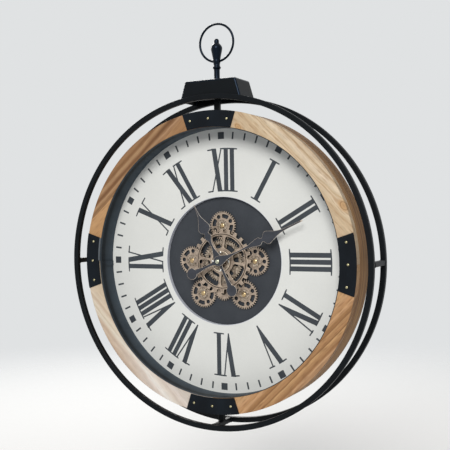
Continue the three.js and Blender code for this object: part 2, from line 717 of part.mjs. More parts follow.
function addBridge() {
  const holes = [circlePoints(tubeInnerRadius, smallRoundSteps)];
  const screws = [];
  for (let i = 0; i < bridgeScrewCount; i++) {
    const angle = (i * 2 * Math.PI) / bridgeScrewCount;
    const between = angle + Math.PI / bridgeScrewCount;
    const spot = polar(bridgeScrewCircle, angle);
    const from = between - bridgeWindowHalfAngle;
    const to = between + bridgeWindowHalfAngle;
    holes.push(bandPoints(bridgeWindowInner, bridgeWindowOuter, from, to, bridgeWindowSteps));
    const head = bridgeBack + bridgeThickness;
    const low = head - joinLap;
    screws.push(turnedPiece([
      [0, low], [bridgeScrewRadius, low],
      ...domedEnd(bridgeScrewRadius, head + bridgeScrewEdge, head + bridgeScrewRise),
    ], pinRoundSteps).translate(spot.x, spot.y, 0));
  }
  const outline = circlePoints(bridgeRadius, mediumRoundSteps);
  const plate = sheetPiece(shapeOf(outline, holes), bridgeBack, bridgeThickness);
  addPiece("front_bridge", joined(plate, ...screws), antiqueBronze);
}

// A spade hand lying along +Y: a blade and tail of mirrored half-widths, and a round counterweight
function handShape(blade, hole) {
  const right = [...handTail, ...blade].map(([along, half]) => new THREE.Vector2(half, along));
  const left = right.map((point) => new THREE.Vector2(-point.x, point.y)).reverse();
  const meet = Math.atan2(handTail[0][1], tailDiscDistance + handTail[0][0]);
  const disc = [];
  for (let i = 0; i <= tailDiscSteps; i++) {
    const angle = Math.PI / 2 + meet + ((2 * Math.PI - 2 * meet) * i) / tailDiscSteps;
    disc.push(polar(tailDiscRadius, angle).add(new THREE.Vector2(0, -tailDiscDistance)));
  }
  return shapeOf([...disc, ...right, ...left], [hole]);
}

function addHands() {
  const pipeBack = movementFront + seatGap;
  const pipeFront = hourHandHeight + handThickness + hourPipeProud;
  const pipe = turnedPiece(ringProfile(hourPipeInner, hourPipeOuter, pipeBack, pipeFront), pinRoundSteps);
  const hour = sheetPiece(handShape(hourBlade, circlePoints(hourPipeInner, pinRoundSteps)), hourHandHeight,
    handThickness);
  addPiece("hour_hand", joined(hour, pipe), handPaint).rotation.z = -hourAngle;
  const arborFront = minuteHandHeight + handThickness;
  const arbor = turnedPiece([
    [0, pipeBack], [minuteArborRadius, pipeBack], [minuteArborRadius, arborFront], [0, arborFront],
  ], pinRoundSteps);
  const minute = sheetPiece(handShape(minuteBlade, circlePoints(minuteArborRadius / 2, pinRoundSteps)),
    minuteHandHeight, handThickness);
  addPiece("minute_hand", joined(minute, arbor), handPaint).rotation.z = -minuteAngle;
  const nutBack = arborFront + seatGap;
  const nut = turnedPiece([
    [0, nutBack], [handNutRadius, nutBack],
    ...domedEnd(handNutRadius, nutBack + handNutEdge, nutBack + handNutRise),
  ], smallRoundSteps);
  addPiece("hand_nut", nut, paleBrass);
}

// An AA cell lying along X, with its raised contact
function cellGeometry() {
  const half = cellLength / 2;
  return turnedPiece([
    [0, -half], [cellRadius, -half], [cellRadius, half - cellNubLength],
    [cellNubRadius, half - cellNubLength], [cellNubRadius, half], [0, half],
  ], smallRoundSteps).rotateY(Math.PI / 2);
}

// Quartz movement behind the disc: its bush comes forward through the disc and the centre tube
function addMovement() {
  const body = boxPiece(movementSide, movementSide, movementDepth, 0, 0, movementBack);
  const bushFront = bridgeBack + bridgeThickness + bridgeGap;
  const bush = turnedPiece([
    [0, movementFront - joinLap], [bushOuter, movementFront - joinLap],
    [bushOuter, bushFront], [0, bushFront],
  ], smallRoundSteps);
  const bore = turnedPiece([
    [0, movementFront], [bushInner, movementFront], [bushInner, bushFront + cutOverrun],
    [0, bushFront + cutOverrun],
  ], smallRoundSteps);
  const bayLength = cellLength + 2 * bayClearance;
  const bayHeight = 2 * (cellRadius + bayClearance);
  const bayFront = cellHeight + cellRadius + seatGap;
  const bay = boxPiece(bayLength, bayHeight, bayFront - movementBack + cutOverrun, 0, movementBayZ,
    movementBack - cutOverrun);
  const knobHoleRadius = setKnobStemRadius + runGap;
  const knobHoleFront = movementBack + setKnobStemLength + runGap;
  const knobHole = turnedPiece([
    [0, movementBack - cutOverrun], [knobHoleRadius, movementBack - cutOverrun],
    [knobHoleRadius, knobHoleFront], [0, knobHoleFront],
  ], pinRoundSteps).translate(0, setKnobZ, 0);
  const solid = joined(body, bush);
  addPiece("time_movement", cutAway(solid, bore, bay, knobHole), blackPlastic);
  addPiece("time_cell", cellGeometry(), cellJacket).position.set(0, movementBayZ, cellHeight);
}

function addSetKnob() {
  const wheelFront = movementBack - seatGap;
  const wheelBack = wheelFront - setKnobThickness;
  const knob = turnedPiece([
    [0, wheelBack], [setKnobRadius, wheelBack], [setKnobRadius, wheelFront], [setKnobStemRadius, wheelFront],
    [setKnobStemRadius, movementBack + setKnobStemLength], [0, movementBack + setKnobStemLength],
  ], smallRoundSteps);
  addPiece("set_knob", knob, blackPlastic).position.y = setKnobZ;
}

// Motor unit that turns the pinion, with a sliding door over its own cell
function addGearMotor() {
  const body = boxPiece(unitWidth, unitHeight, unitDepth, 0, -unitCentreDrop, unitBack);
  const bayY = -(unitCentreDrop + unitBayDrop);
  const bayLength = cellLength + 2 * bayClearance;
  const bayHeight = 2 * (cellRadius + bayClearance);
  const bayFront = unitCellHeight + cellRadius + seatGap;
  const bay = boxPiece(bayLength, bayHeight, bayFront - unitBack + cutOverrun, 0, bayY,
    unitBack - cutOverrun);
  const trackLength = unitWidth / 2 + doorLength / 2 + cutOverrun;
  const trackHeight = doorHeight + 2 * seatGap;
  const trackX = trackLength / 2 - doorLength / 2 - seatGap;
  const trackDepth = doorTrack + cutOverrun;
  const track = boxPiece(trackLength, trackHeight, trackDepth, trackX, bayY, unitBack - cutOverrun);
  const holeRadius = motorShaftRadius + runGap;
  const shaftHole = turnedPiece([
    [0, movementFront - unitDepth / 2], [holeRadius, movementFront - unitDepth / 2],
    [holeRadius, movementFront + cutOverrun], [0, movementFront + cutOverrun],
  ], pinRoundSteps).translate(0, -pinionDrop, 0);
  addPiece("gear_motor_unit", cutAway(body, bay, track, shaftHole), blackPlastic);
  addPiece("gear_cell", cellGeometry(), cellJacket).position.set(0, bayY, unitCellHeight);
  const door = boxPiece(doorLength, doorHeight, doorThickness, 0, bayY, unitBack);
  addPiece("battery_door", door, blackPlastic);
}

addHoops();
addPosts();
addWoodRing();
addCase();
addSunkDisc();
addJointPlates();
addCrown();
addHanger();
addFinial();
addPendantRing();
addGearTrain();
addCentreTube();
addBridge();
addHands();
addMovement();
addSetKnob();
addGearMotor();

// Stand the clock up, with the top of the keyhole on the wall as the origin
clock.rotation.x = Math.PI / 2;
clock.position.z = -keyholeTopZ;
const part = new THREE.Group();
part.add(clock);

export default part;
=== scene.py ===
# %% [markdown]
# # A skeleton gear wall clock
#
# This lesson dresses a wall clock that is 600 mm across: two black steel hoops, a wooden rim in four
# quarters, a deep pale dial with Roman numerals, and a round window onto a train of bronze gears.
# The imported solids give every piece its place. Blender gives each one the shape and finish of the real one.

# %% Load the solids that fix every size and place
import math

import bmesh
import bpy
from mathutils import Matrix, Vector


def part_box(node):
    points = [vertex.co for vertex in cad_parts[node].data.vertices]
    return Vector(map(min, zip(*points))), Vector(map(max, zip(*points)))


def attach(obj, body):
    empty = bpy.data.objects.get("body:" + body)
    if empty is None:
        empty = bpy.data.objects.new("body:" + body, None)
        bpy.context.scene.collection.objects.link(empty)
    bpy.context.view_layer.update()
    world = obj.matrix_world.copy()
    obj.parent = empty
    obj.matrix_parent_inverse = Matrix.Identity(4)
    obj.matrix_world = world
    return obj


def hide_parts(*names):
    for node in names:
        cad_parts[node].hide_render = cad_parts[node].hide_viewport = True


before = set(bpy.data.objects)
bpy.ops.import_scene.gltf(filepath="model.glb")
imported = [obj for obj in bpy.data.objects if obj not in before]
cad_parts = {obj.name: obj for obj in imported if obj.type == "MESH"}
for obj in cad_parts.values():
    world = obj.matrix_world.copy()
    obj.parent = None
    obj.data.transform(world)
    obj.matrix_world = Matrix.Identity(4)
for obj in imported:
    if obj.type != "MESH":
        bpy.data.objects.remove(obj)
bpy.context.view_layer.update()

# %% [markdown]
# The clock hangs from its keyhole, so the middle of the dial is below the origin. Sizes are easiest to think
# of on the dial: millimetres to the right, millimetres up, and millimetres off the wall. One function
# turns such a spot into a point of the scene, which is in metres with the wall at y = 0.

# %% From dial sizes to points of the scene
MM = 0.001
DIAL_DROP = 317.3
DIAL_AXIS = (0, 1, 0)


def spot(right, up, off_wall):
    """A place on the clock, from the dial's middle and the wall, as a point of the scene."""
    return Vector((right * MM, -off_wall * MM, (up - DIAL_DROP) * MM))


def on_dial(radius, degrees):
    """Right and up of a place at a radius and an angle. 0 degrees is 3 o'clock and 90 is 12 o'clock."""
    angle = math.radians(degrees)
    return radius * math.cos(angle), radius * math.sin(angle)


def from_middle(point):
    """How far a point of the scene is from the dial's axis, in millimetres."""
    return math.hypot(point.x, point.z + DIAL_DROP * MM) / MM


print("middle of the dial", tuple(round(v, 4) for v in spot(0, 0, 28.3)))

# %% [markdown]
# The camera stands to the right of the clock and a little above the middle of the dial. Its place and its
# three directions were solved from the circles of the hoops, the rim and the gears. A camera looks along
# its own -Z, so the turn is built from the right, up and backward directions.

# %% Camera
bpy.ops.object.camera_add(location=(0.6893, -1.3545, -0.2304))
camera = bpy.context.object
camera.name = "front_right_camera"
to_right = Vector((0.888654, 0.458343, -0.014672))
upward = Vector((0.006609, 0.019190, 0.999794))
backward = Vector((0.458531, -0.888568, 0.014024))
camera.rotation_euler = Matrix((to_right, upward, backward)).transposed().to_euler()
camera.data.sensor_fit = "HORIZONTAL"
camera.data.sensor_width = 36
camera.data.lens = 65.32
camera.data.shift_x = 0.00167
camera.data.clip_start = 0.01
bpy.context.scene.camera = camera
bpy.context.scene.view_settings.view_transform = "Standard"
print("lens", camera.data.lens, "mm")

# %% [markdown]
# ## Making finishes
# Every finish is a small network of nodes. Colours are written as the hex codes that a paint program shows,
# and one function turns them into the linear values that the shaders work in. One more function adds a node,
# sets its options and joins it to the nodes before it. A finish then has a word for each thing that the
# finishes of this clock are made of: noise, a ramp of tones, a range fitted to another, a mix, a shade.

# %% Colours and nodes


def linear(hex_code):
    """An sRGB hex colour as the linear values that Blender's shaders use."""
    channels = [int(hex_code[i : i + 2], 16) / 255 for i in (1, 3, 5)]
    return tuple(c / 12.92 if c <= 0.04045 else ((c + 0.055) / 1.055) ** 2.4 for c in channels) + (1.0,)


def add_node(tree, kind, inputs=None, stops=(), **options):
    """Adds a node with its options, and gives each input a value or the output that feeds it."""
    made = tree.nodes.new("ShaderNode" + kind)
    for name, value in options.items():
        setattr(made, name, value)
    for number, (place, hex_code) in enumerate(stops):
        colours = made.color_ramp.elements
        element = colours[number] if number < len(colours) else colours.new(place)
        element.position = place
        element.color = linear(hex_code)
    for name, value in (inputs or {}).items():
        if isinstance(value, bpy.types.NodeSocket):
            tree.links.new(value, made.inputs[name])
        else:
            made.inputs[name].default_value = value
    return made


class Finish:
    """A material being made. Its place is the point that is shaded, from the middle of the dial."""

    def __init__(self, name, shine=0.5, **settings):
        self.material = bpy.data.materials.new(name)
        self.material.use_nodes = True
        self.tree = self.material.node_tree
        self.tree.nodes.clear()
        settings = {key.replace("_", " "): value for key, value in settings.items()}
        self.shader = add_node(self.tree, "BsdfPrincipled", {"Specular IOR Level": shine, **settings})
        add_node(self.tree, "OutputMaterial", {"Surface": self.shader.outputs["BSDF"]})
        place = add_node(self.tree, "TexCoord").outputs["Object"]
        self.place = self.vector("ADD", place, (0.0, 0.0, DIAL_DROP * MM))

    def node(self, kind, inputs, output=0, **options):
        return add_node(self.tree, kind, inputs, **options).outputs[output]

    def maths(self, operation, *values):
        return self.node("Math", dict(enumerate(values)), operation=operation)

    def vector(self, operation, *values):
        return self.node("VectorMath", dict(enumerate(values)), operation=operation)

    def length(self, vector):
        return self.node("VectorMath", {0: vector}, "Value", operation="LENGTH")

    def scaled(self, vector, factor):
        return self.node("VectorMath", {0: vector, "Scale": factor}, operation="SCALE")

    def noise(self, scale, detail=2.0, place=None, **more):
        place = place or self.place
        return self.node("TexNoise", {"Vector": place, "Scale": scale, "Detail": detail, **more})

    def fit(self, value, low, high, to_low=0.0, to_high=1.0, **options):
        """Fits the range from low to high onto another, and holds the value inside it."""
        limits = {"Value": value, "From Min": low, "From Max": high, "To Min": to_low, "To Max": to_high}
        return self.node("MapRange", limits, **options)

    def ramp(self, share, stops):
        return self.node("ValToRGB", {"Fac": share}, stops=stops)

    def bands(self, value, low, high, stops):
        """A ramp along a distance. Its ends and its stops are in millimetres."""
        share = self.fit(value, low * MM, high * MM)
        return self.ramp(share, [((at - low) / (high - low), tone) for at, tone in stops])

    def mix(self, share, first, second):
        return self.node("Mix", {0: share, 6: first, 7: second}, 2, data_type="RGBA")

    def shaded(self, colour, noise, darkest, lightest):
        """The colour made darker and lighter by a noise, whose middle values are the ones that count."""
        return self.scaled(colour, self.fit(noise, 0.3, 0.7, darkest, lightest))

    def ready(self, colour, rough=None, bump=None):
        """Joins the colour to the shader, and noises that change its roughness and lift its surface."""
        self.tree.links.new(colour, self.shader.inputs["Base Color"])
        if rough:
            noise, lowest, highest = rough
            gloss = self.fit(noise, 0.0, 1.0, lowest, highest)
            self.tree.links.new(gloss, self.shader.inputs["Roughness"])
        if bump:
            strength, depth, height = bump
            lifted = self.node("Bump", {"Strength": strength, "Distance": depth, "Height": height})
            self.tree.links.new(lifted, self.shader.inputs["Normal"])
        return self.material


print("black", [round(v, 4) for v in linear("#16191D")])

# %% [markdown]
# ## Stage
# A plain pale floor lies some way below the clock and keeps its soft shadow. It thins out with distance, so
# that it has no horizon. The world is the same pale grey wherever the camera or a mirror-like surface looks
# past the clock, and a plain soft light everywhere else. A large square lamp stands far off, above and to the
# right of the clock's middle, which is where the shadow of the rim on the dial says the light comes from. It
# is so far away that the bottom of the dial is lit as well as the top. A second, weaker lamp stands behind.

# %% Floor, background and lamps
PALE_GREY, SOFT_WHITE, SOFT_LIGHT = "#E0E2E3", "#FBFBFE", 0.19
FLOOR_RADIUS, FLOOR_DROP, FLOOR_FADES = 5.5, 1.0, (1.3, 3.6)
# name, place, size in metres and power in watts
LAMPS = [
    ("soft_lamp", (2.3, -8.0, 4.0), 4.0, 708),
    ("soft_lamp_behind", (-2.6, 3.2, 2.0), 2.4, 150),
]


def make_floor():
    bpy.ops.mesh.primitive_circle_add(vertices=96, radius=FLOOR_RADIUS, fill_type="NGON",
                                      location=(0, 0, -FLOOR_DROP))
    floor = bpy.context.object
    floor.name = "pale_floor"
    paint = Finish("matt_pale_floor", 0.1, Roughness=0.9, Base_Color=linear("#F5F6F7"))
    gone = paint.fit(paint.length(paint.place), *FLOOR_FADES, interpolation_type="SMOOTHSTEP")
    clear = paint.node("BsdfTransparent", {})
    faded = paint.node("MixShader", {0: gone, 1: paint.shader.outputs[0], 2: clear})
    paint.tree.links.new(faded, paint.tree.nodes["Material Output"].inputs["Surface"])
    floor.data.materials.append(paint.material)


def make_world():
    world = bpy.data.worlds.new("pale_room")
    bpy.context.scene.world = world
    world.use_nodes = True
    tree = world.node_tree
    tree.nodes.clear()
    path = add_node(tree, "LightPath").outputs
    seen = path["Is Camera Ray"]
    for other in ("Is Glossy Ray", "Is Transmission Ray"):
        seen = add_node(tree, "Math", {0: seen, 1: path[other]}, operation="MAXIMUM").outputs[0]
    soft = add_node(tree, "Background", {"Color": linear(SOFT_WHITE), "Strength": SOFT_LIGHT}).outputs[0]
    pale = add_node(tree, "Background", {"Color": linear(PALE_GREY), "Strength": 1.0}).outputs[0]
    mixed = add_node(tree, "MixShader", {0: seen, 1: soft, 2: pale}).outputs[0]
    add_node(tree, "OutputWorld", {"Surface": mixed})


make_floor()
make_world()
for name, place, size, watts in LAMPS:
    bpy.ops.object.light_add(type="AREA", location=place)
    lamp = bpy.context.object
    lamp.name = name
    lamp.data.shape = "SQUARE"
    lamp.data.size = size
    lamp.data.energy = watts
    lamp.data.color = linear("#FFFDF9")[:3]
    aim = spot(0, 0, 30) - lamp.location
    lamp.rotation_euler = aim.to_track_quat("-Z", "Y").to_euler()
    print(name, round(aim.length, 2), "m from the dial")

# %% [markdown]
# ## Modelling by hand, in code
# The operators below are the ones that a modeller uses with the mouse. An operator acts on everything that
# is selected, so each helper first clears the selection. Edit mode is entered and left explicitly, and
# faces or vertices are picked by where they are.

# %% Selecting and editing
# corners that are closer than this, in metres, become one
TOUCHING = 2e-6


def work_on(piece):
    """Makes one piece the only selected object."""
    bpy.ops.object.select_all(action="DESELECT")
    if piece:
        piece.select_set(True)
        bpy.context.view_layer.objects.active = piece


def edit(piece, select="SELECT"):
    """Opens a piece in edit mode with all or nothing selected."""
    work_on(piece)
    bpy.ops.object.mode_set(mode="EDIT")
    bpy.ops.mesh.select_all(action=select)


def leave():
    """Leaves edit mode."""
    bpy.ops.object.mode_set(mode="OBJECT")


def pick(piece, kind, test):
    """In edit mode, selects the faces, edges or verts whose middle and normal pass the test."""
    mesh = bmesh.from_edit_mesh(piece.data)
    bpy.ops.mesh.select_all(action="DESELECT")
    bpy.ops.mesh.select_mode(type={"faces": "FACE", "edges": "EDGE", "verts": "VERT"}[kind])
    for element in getattr(mesh, kind):
        corners = [element] if kind == "verts" else element.verts
        middle = sum((corner.co for corner in corners), Vector()) / len(corners)
        if test(middle, getattr(element, "normal", None)):
            element.select_set(True)
    mesh.select_flush_mode()
    bmesh.update_edit_mesh(piece.data)


def pull(*way):
    """In edit mode, extrudes what is selected by a way in metres."""
    bpy.ops.mesh.extrude_region_move(TRANSFORM_OT_translate={"value": way})


def tidy_mesh(piece):
    """Merges doubles, then turns every face outwards."""
    edit(piece)
    bpy.ops.mesh.remove_doubles(threshold=TOUCHING)
    bpy.ops.mesh.select_all(action="SELECT")
    bpy.ops.mesh.normals_make_consistent(inside=False)
    leave()


def spin(piece, steps, centre, axis=DIAL_AXIS, degrees=360.0, repeat=False):
    """Sweeps what is in a piece round an axis, or repeats it round the axis."""
    edit(piece)
    bpy.ops.mesh.spin(steps=steps, dupli=repeat, angle=math.radians(degrees), center=centre, axis=axis)
    leave()
    tidy_mesh(piece)


def thicken(piece, thickness):
    """Fills the sheet between closed lines and pulls it forward to its thickness."""
    edit(piece)
    bpy.ops.mesh.fill(use_beauty=True)
    bpy.ops.mesh.select_all(action="SELECT")
    pull(0, -thickness * MM, 0)
    leave()
    tidy_mesh(piece)
    return piece


def with_modifier(piece, kind, **settings):
    """Adds a modifier and applies it at once."""
    work_on(piece)
    bpy.ops.object.modifier_add(type=kind)
    modifier = piece.modifiers[-1]
    for name, value in settings.items():
        setattr(modifier, name, value)
    bpy.ops.object.modifier_apply(modifier=modifier.name)


def ease_edges(piece, width, segments=2, angle=30, edge_finish=-1):
    """Rounds every sharp edge, as a file or a tumbler does. The new faces may take a finish of their own."""
    with_modifier(piece, "BEVEL", width=width * MM, segments=segments, limit_method="ANGLE",
                  angle_limit=math.radians(angle), use_clamp_overlap=True, material=edge_finish)
    return piece


def join(first, *others):
    """Joins pieces into the first one."""
    work_on(first)
    for other in others:
        other.select_set(True)
    bpy.ops.object.join()
    return first


def discard(*pieces):
    for piece in pieces:
        bpy.data.objects.remove(piece)


def cut(piece, tool):
    """Cuts one solid away from another and throws the tool away."""
    with_modifier(piece, "BOOLEAN", object=tool, operation="DIFFERENCE", solver="EXACT")
    discard(tool)


def drill(piece, radius, depth, sides, centre, turn):
    """Cuts a round hole."""
    work_on(None)
    bpy.ops.mesh.primitive_cylinder_add(vertices=sides, radius=radius * MM, depth=depth * MM,
                                        location=spot(*centre), rotation=turn)
    cut(piece, bpy.context.object)


def block(name, centre, size):
    """A cube at its place and size: right, up and off the wall."""
    work_on(None)
    bpy.ops.mesh.primitive_cube_add(size=1, location=spot(*centre))
    made = bpy.context.object
    made.name = name
    made.scale = (size[0] * MM, size[2] * MM, size[1] * MM)
    bpy.ops.object.transform_apply(location=True, rotation=True, scale=True)
    return made


print("modelling tools ready")

# %% [markdown]
# Every piece is dressed in the same way at the end: its place is kept in the mesh, its round faces are
# shaded smooth and its flat ones flat, and it gets its finishes and the body it moves with, while the solids
# it stands for are hidden.

# %% Dressing a piece, and copies of it


def give(piece, finishes, index=None):
    """Puts finishes in a piece's slots. Its faces keep their own, or all take the one at the index."""
    chosen = [face.material_index if index is None else index for face in piece.data.polygons]
    piece.data.materials.clear()
    for finish in finishes:
        piece.data.materials.append(finish)
    for face, number in zip(piece.data.polygons, chosen):
        face.material_index = min(number, len(finishes) - 1)
    return piece


def dress(piece, slot, finishes, *nodes, body="frame", smooth=35):
    """The last step of every piece. A finish may stand alone or in a list."""
    work_on(piece)
    bpy.ops.object.transform_apply(location=True, rotation=True, scale=True)
    bpy.ops.object.shade_smooth_by_angle(angle=math.radians(smooth))
    with_modifier(piece, "WEIGHTED_NORMAL", keep_sharp=True)
    give(piece, finishes if isinstance(finishes, list) else [finishes])
    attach(piece, body)
    if nodes:
        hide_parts(*nodes)
    return piece


def moved(piece, name, turn=0.0, to=(0, 0, 0)):
    """Renames a piece, turns it about the dial's middle, anticlockwise from the front, and moves it."""
    piece.name = name
    turned_back = Matrix.Rotation(-math.radians(turn), 4, "Y") @ Matrix.Translation(-spot(0, 0, 0))
    piece.data.transform(Matrix.Translation(spot(*to)) @ turned_back)
    return piece


def copy_of(piece, name, turn=0.0, to=(0, 0, 0)):
    """A copy with its own mesh, turned and moved."""
    work_on(piece)
    bpy.ops.object.duplicate(linked=False)
    return moved(bpy.context.object, name, turn, to)


print("dressing ready")

# %% [markdown]
# A turned piece starts as a line: one vertex is pulled from corner to corner of the section and the line is
# then spun round its axis. The same walk draws the outline of a flat piece, which is filled and pulled to
# its thickness. Corners are eased before the spin, because a rounded edge is what catches the light. A part
# turn, such as a quarter of the wooden rim, is open at both ends and those two holes are filled.

# %% Drawing a line, easing its corners, turning it


def walk(name, points, closed=True):
    """A line of edges drawn by pulling one vertex from point to point."""
    work_on(None)
    bpy.ops.mesh.primitive_plane_add(size=0.01)
    line = bpy.context.object
    line.name = name
    edit(line)
    bpy.ops.mesh.merge(type="CENTER")
    bpy.ops.mesh.select_mode(type="VERT")
    bpy.ops.mesh.select_all(action="SELECT")
    bpy.ops.transform.translate(value=points[0])
    here = Vector(points[0])
    for stop in list(points[1:]) + ([points[0]] if closed else []):
        bpy.ops.mesh.extrude_vertices_move(TRANSFORM_OT_translate={"value": Vector(stop) - here})
        here = Vector(stop)
    bpy.ops.mesh.select_all(action="SELECT")
    bpy.ops.mesh.remove_doubles(threshold=TOUCHING)
    leave()
    return line


def eased(corners, radius, steps=3):
    """The corners of a section, in pairs of millimetres, with each one rounded."""
    rounded = []
    for i, corner in enumerate(corners):
        here = Vector(corner)
        before = Vector(corners[i - 1]) - here
        after = Vector(corners[(i + 1) % len(corners)]) - here
        reach = min(radius, before.length * 0.45, after.length * 0.45)
        start = here + before.normalized() * reach
        end = here + after.normalized() * reach
        for step in range(steps + 1):
            t = step / steps
            rounded.append(start.lerp(here, t).lerp(here.lerp(end, t), t))
    return rounded


def box_section(inner, outer, back, front):
    return [(inner, back), (outer, back), (outer, front), (inner, front)]


def box_outline(middle, size):
    """The corners of an upright box on the dial, from its middle and its size."""
    (x, y), (w, h) = middle, size
    return [(x - w / 2, y - h / 2), (x + w / 2, y - h / 2), (x + w / 2, y + h / 2), (x - w / 2, y + h / 2)]


def curve(radius, start, end, steps, middle=(0, 0)):
    """Spots on a circle of the dial, from one angle to another."""
    spots = [on_dial(radius, start + (end - start) * i / steps) for i in range(steps + 1)]
    return [(middle[0] + x, middle[1] + y) for x, y in spots]


def turned(name, section, steps, centre=(0, 0), start=0.0, sweep=360.0, closed=True):
    """Spins a section, in pairs of radius and height off the wall, about a spot of the dial."""
    east, north = on_dial(1, start)
    piece = walk(name, [spot(centre[0] + r * east, centre[1] + r * north, h) for r, h in section], closed)
    spin(piece, steps, spot(*centre, 0), degrees=sweep)
    if sweep < 360:
        edit(piece)
        bpy.ops.mesh.fill_holes(sides=0)
        leave()
        tidy_mesh(piece)
    return piece


def flat_piece(name, outlines, back, front):
    """A flat piece: closed outlines on the dial, the holes among them, filled and pulled to thickness."""
    lines = [walk(name, [spot(x, y, back) for x, y in outline]) for outline in outlines]
    return thicken(join(*lines), front - back)


print(len(eased(box_section(0, 10, 0, 10), 2)), "points in an eased square")

# %% [markdown]
# ## Black steel
# The hoops, bars, crown, finial and ring are mild steel with a satin powder coat. Baked powder is dark and
# slightly blue, flows into a faint orange-peel surface and shines softly. The peel of the real coat is about
# 1 mm across, too fine for the picture, so it is drawn at 2.5 mm.

# %% Powder coat
PEEL_SCALE = 400.0


def powder_coat(name, dark, light, roughness, peel=0.25, shine=0.13, sky_tint="#FFFFFF"):
    """Baked powder. Its cast tints its highlights, a painted reflection of a blue sky."""
    coat = Finish(name, shine, Specular_Tint=linear(sky_tint))
    colour = coat.ramp(coat.noise(28.0, 3.0), [(0.35, dark), (0.7, light)])
    grain = coat.noise(PEEL_SCALE)
    return coat.ready(colour, (grain, roughness - 0.06, roughness + 0.08), (peel, 0.0001, grain))


black_coat = powder_coat("satin_black_powder_coat", "#05090D", "#0A0F14", 0.42)
# the blue cast of this coat's highlights is a painted sky reflection
gloss_coat = powder_coat("smooth_black_powder_coat", "#03070C", "#070C12", 0.27, peel=0.1, shine=0.34,
                         sky_tint="#93ABD0")
print("satin black")

# %% [markdown]
# The hoops are square bar, rolled into a circle and welded shut. One section is turned for the front hoop,
# and the hoop at the wall is a copy of it, moved back by the depth of the clock.

# %% Hoops
HOOP_INNER, HOOP_OUTER = 290.4, 300.0
FRONT_HOOP_BACK, FRONT_HOOP_FRONT = 68.8, 77.8

section = eased(box_section(HOOP_INNER, HOOP_OUTER, FRONT_HOOP_BACK, FRONT_HOOP_FRONT), 1.5, steps=4)
front_hoop = turned("front_square_bar_hoop", section, 240)
back_hoop = copy_of(front_hoop, "wall_square_bar_hoop", to=(0, 0, -FRONT_HOOP_BACK))
dress(front_hoop, "black_steel", black_coat, "front_hoop", smooth=50)
dress(back_hoop, "black_steel", black_coat, "back_hoop", smooth=50)
print("hoop faces", len(front_hoop.data.polygons))

# %% [markdown]
# A bar is a block whose long edges are bevelled in edit mode. The last 1.8 mm at each end is a band that is
# wider than the bar, as a fillet weld that has been ground back. Bars join the hoops, and two posts carry
# the case.

# %% Bars between the hoops and the posts that carry the case
BAR_MIDDLE, BAR_LENGTH, AXIS_OFF_WALL = (HOOP_INNER + HOOP_OUTER) / 2, 59.4, 38.9
BEAD_FLARE, BEAD_WIDTH, BEAD_GROWTH = 0.6, 1.2, 1.16


def make_bar(name, node, centre, size, long_axis):
    bar = block(name, centre, size)
    middle = spot(*centre)
    half = (size[0], size[2], size[1])[long_axis] * MM / 2
    edit(bar, "DESELECT")
    pick(bar, "edges", lambda at, _: abs(at[long_axis] - middle[long_axis]) < half * 0.5)
    bpy.ops.mesh.bevel(offset=1.3 * MM, segments=3)
    growth = [1.0 if axis == long_axis else BEAD_GROWTH for axis in range(3)]
    for side in (-1, 1):
        outward = Vector([side * MM if axis == long_axis else 0.0 for axis in range(3)])
        pick(bar, "faces", lambda at, _: side * (at[long_axis] - middle[long_axis]) > half * 0.99)
        bpy.ops.transform.translate(value=outward * -(BEAD_FLARE + BEAD_WIDTH))
        pull(*outward * BEAD_FLARE)
        bpy.ops.transform.resize(value=growth, center_override=middle)
        pull(*outward * BEAD_WIDTH)
    leave()
    tidy_mesh(bar)
    dress(bar, "black_steel", black_coat, node)


for name, node, (right, up), (wide, high) in (
    ("cross_bar_at_3", "cross_bar_right", (BAR_MIDDLE, 0), (9.2, 9)),
    ("cross_bar_at_9", "cross_bar_left", (-BAR_MIDDLE, 0), (9.2, 9)),
    ("cross_bar_at_6", "cross_bar_bottom", (0, -BAR_MIDDLE), (9, 9.2)),
):
    make_bar(name, node, (right, up, AXIS_OFF_WALL), (wide, high, BAR_LENGTH), 1)
for name, node in (("post_at_6", "post_bottom"), ("post_at_12", "post_top")):
    low, high = (corner[2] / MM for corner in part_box(node))
    make_bar(name, node, (0, (low + high) / 2 + DIAL_DROP, AXIS_OFF_WALL), (10, high - low, 10), 2)
print("three bars and two posts")

# %% [markdown]
# ## Crown block
# The block over 12 o'clock is one sheet of steel, folded to an open box with softly rounded folds. It starts
# as a cube, whose top is drawn in to make the sloping ends. The folds are bevelled at 3.4 mm, the bottom is
# opened and Solidify gives the sheet its 2 mm. The light catches the folds first, so the bevel is glossy.

# %% Crown block
CROWN_BOTTOM, CROWN_TOP, CROWN_WIDTH, CROWN_TOP_WIDTH = 290.0, 327.0, 124, 102
CROWN_BACK, CROWN_FRONT = 9.3, 68.5


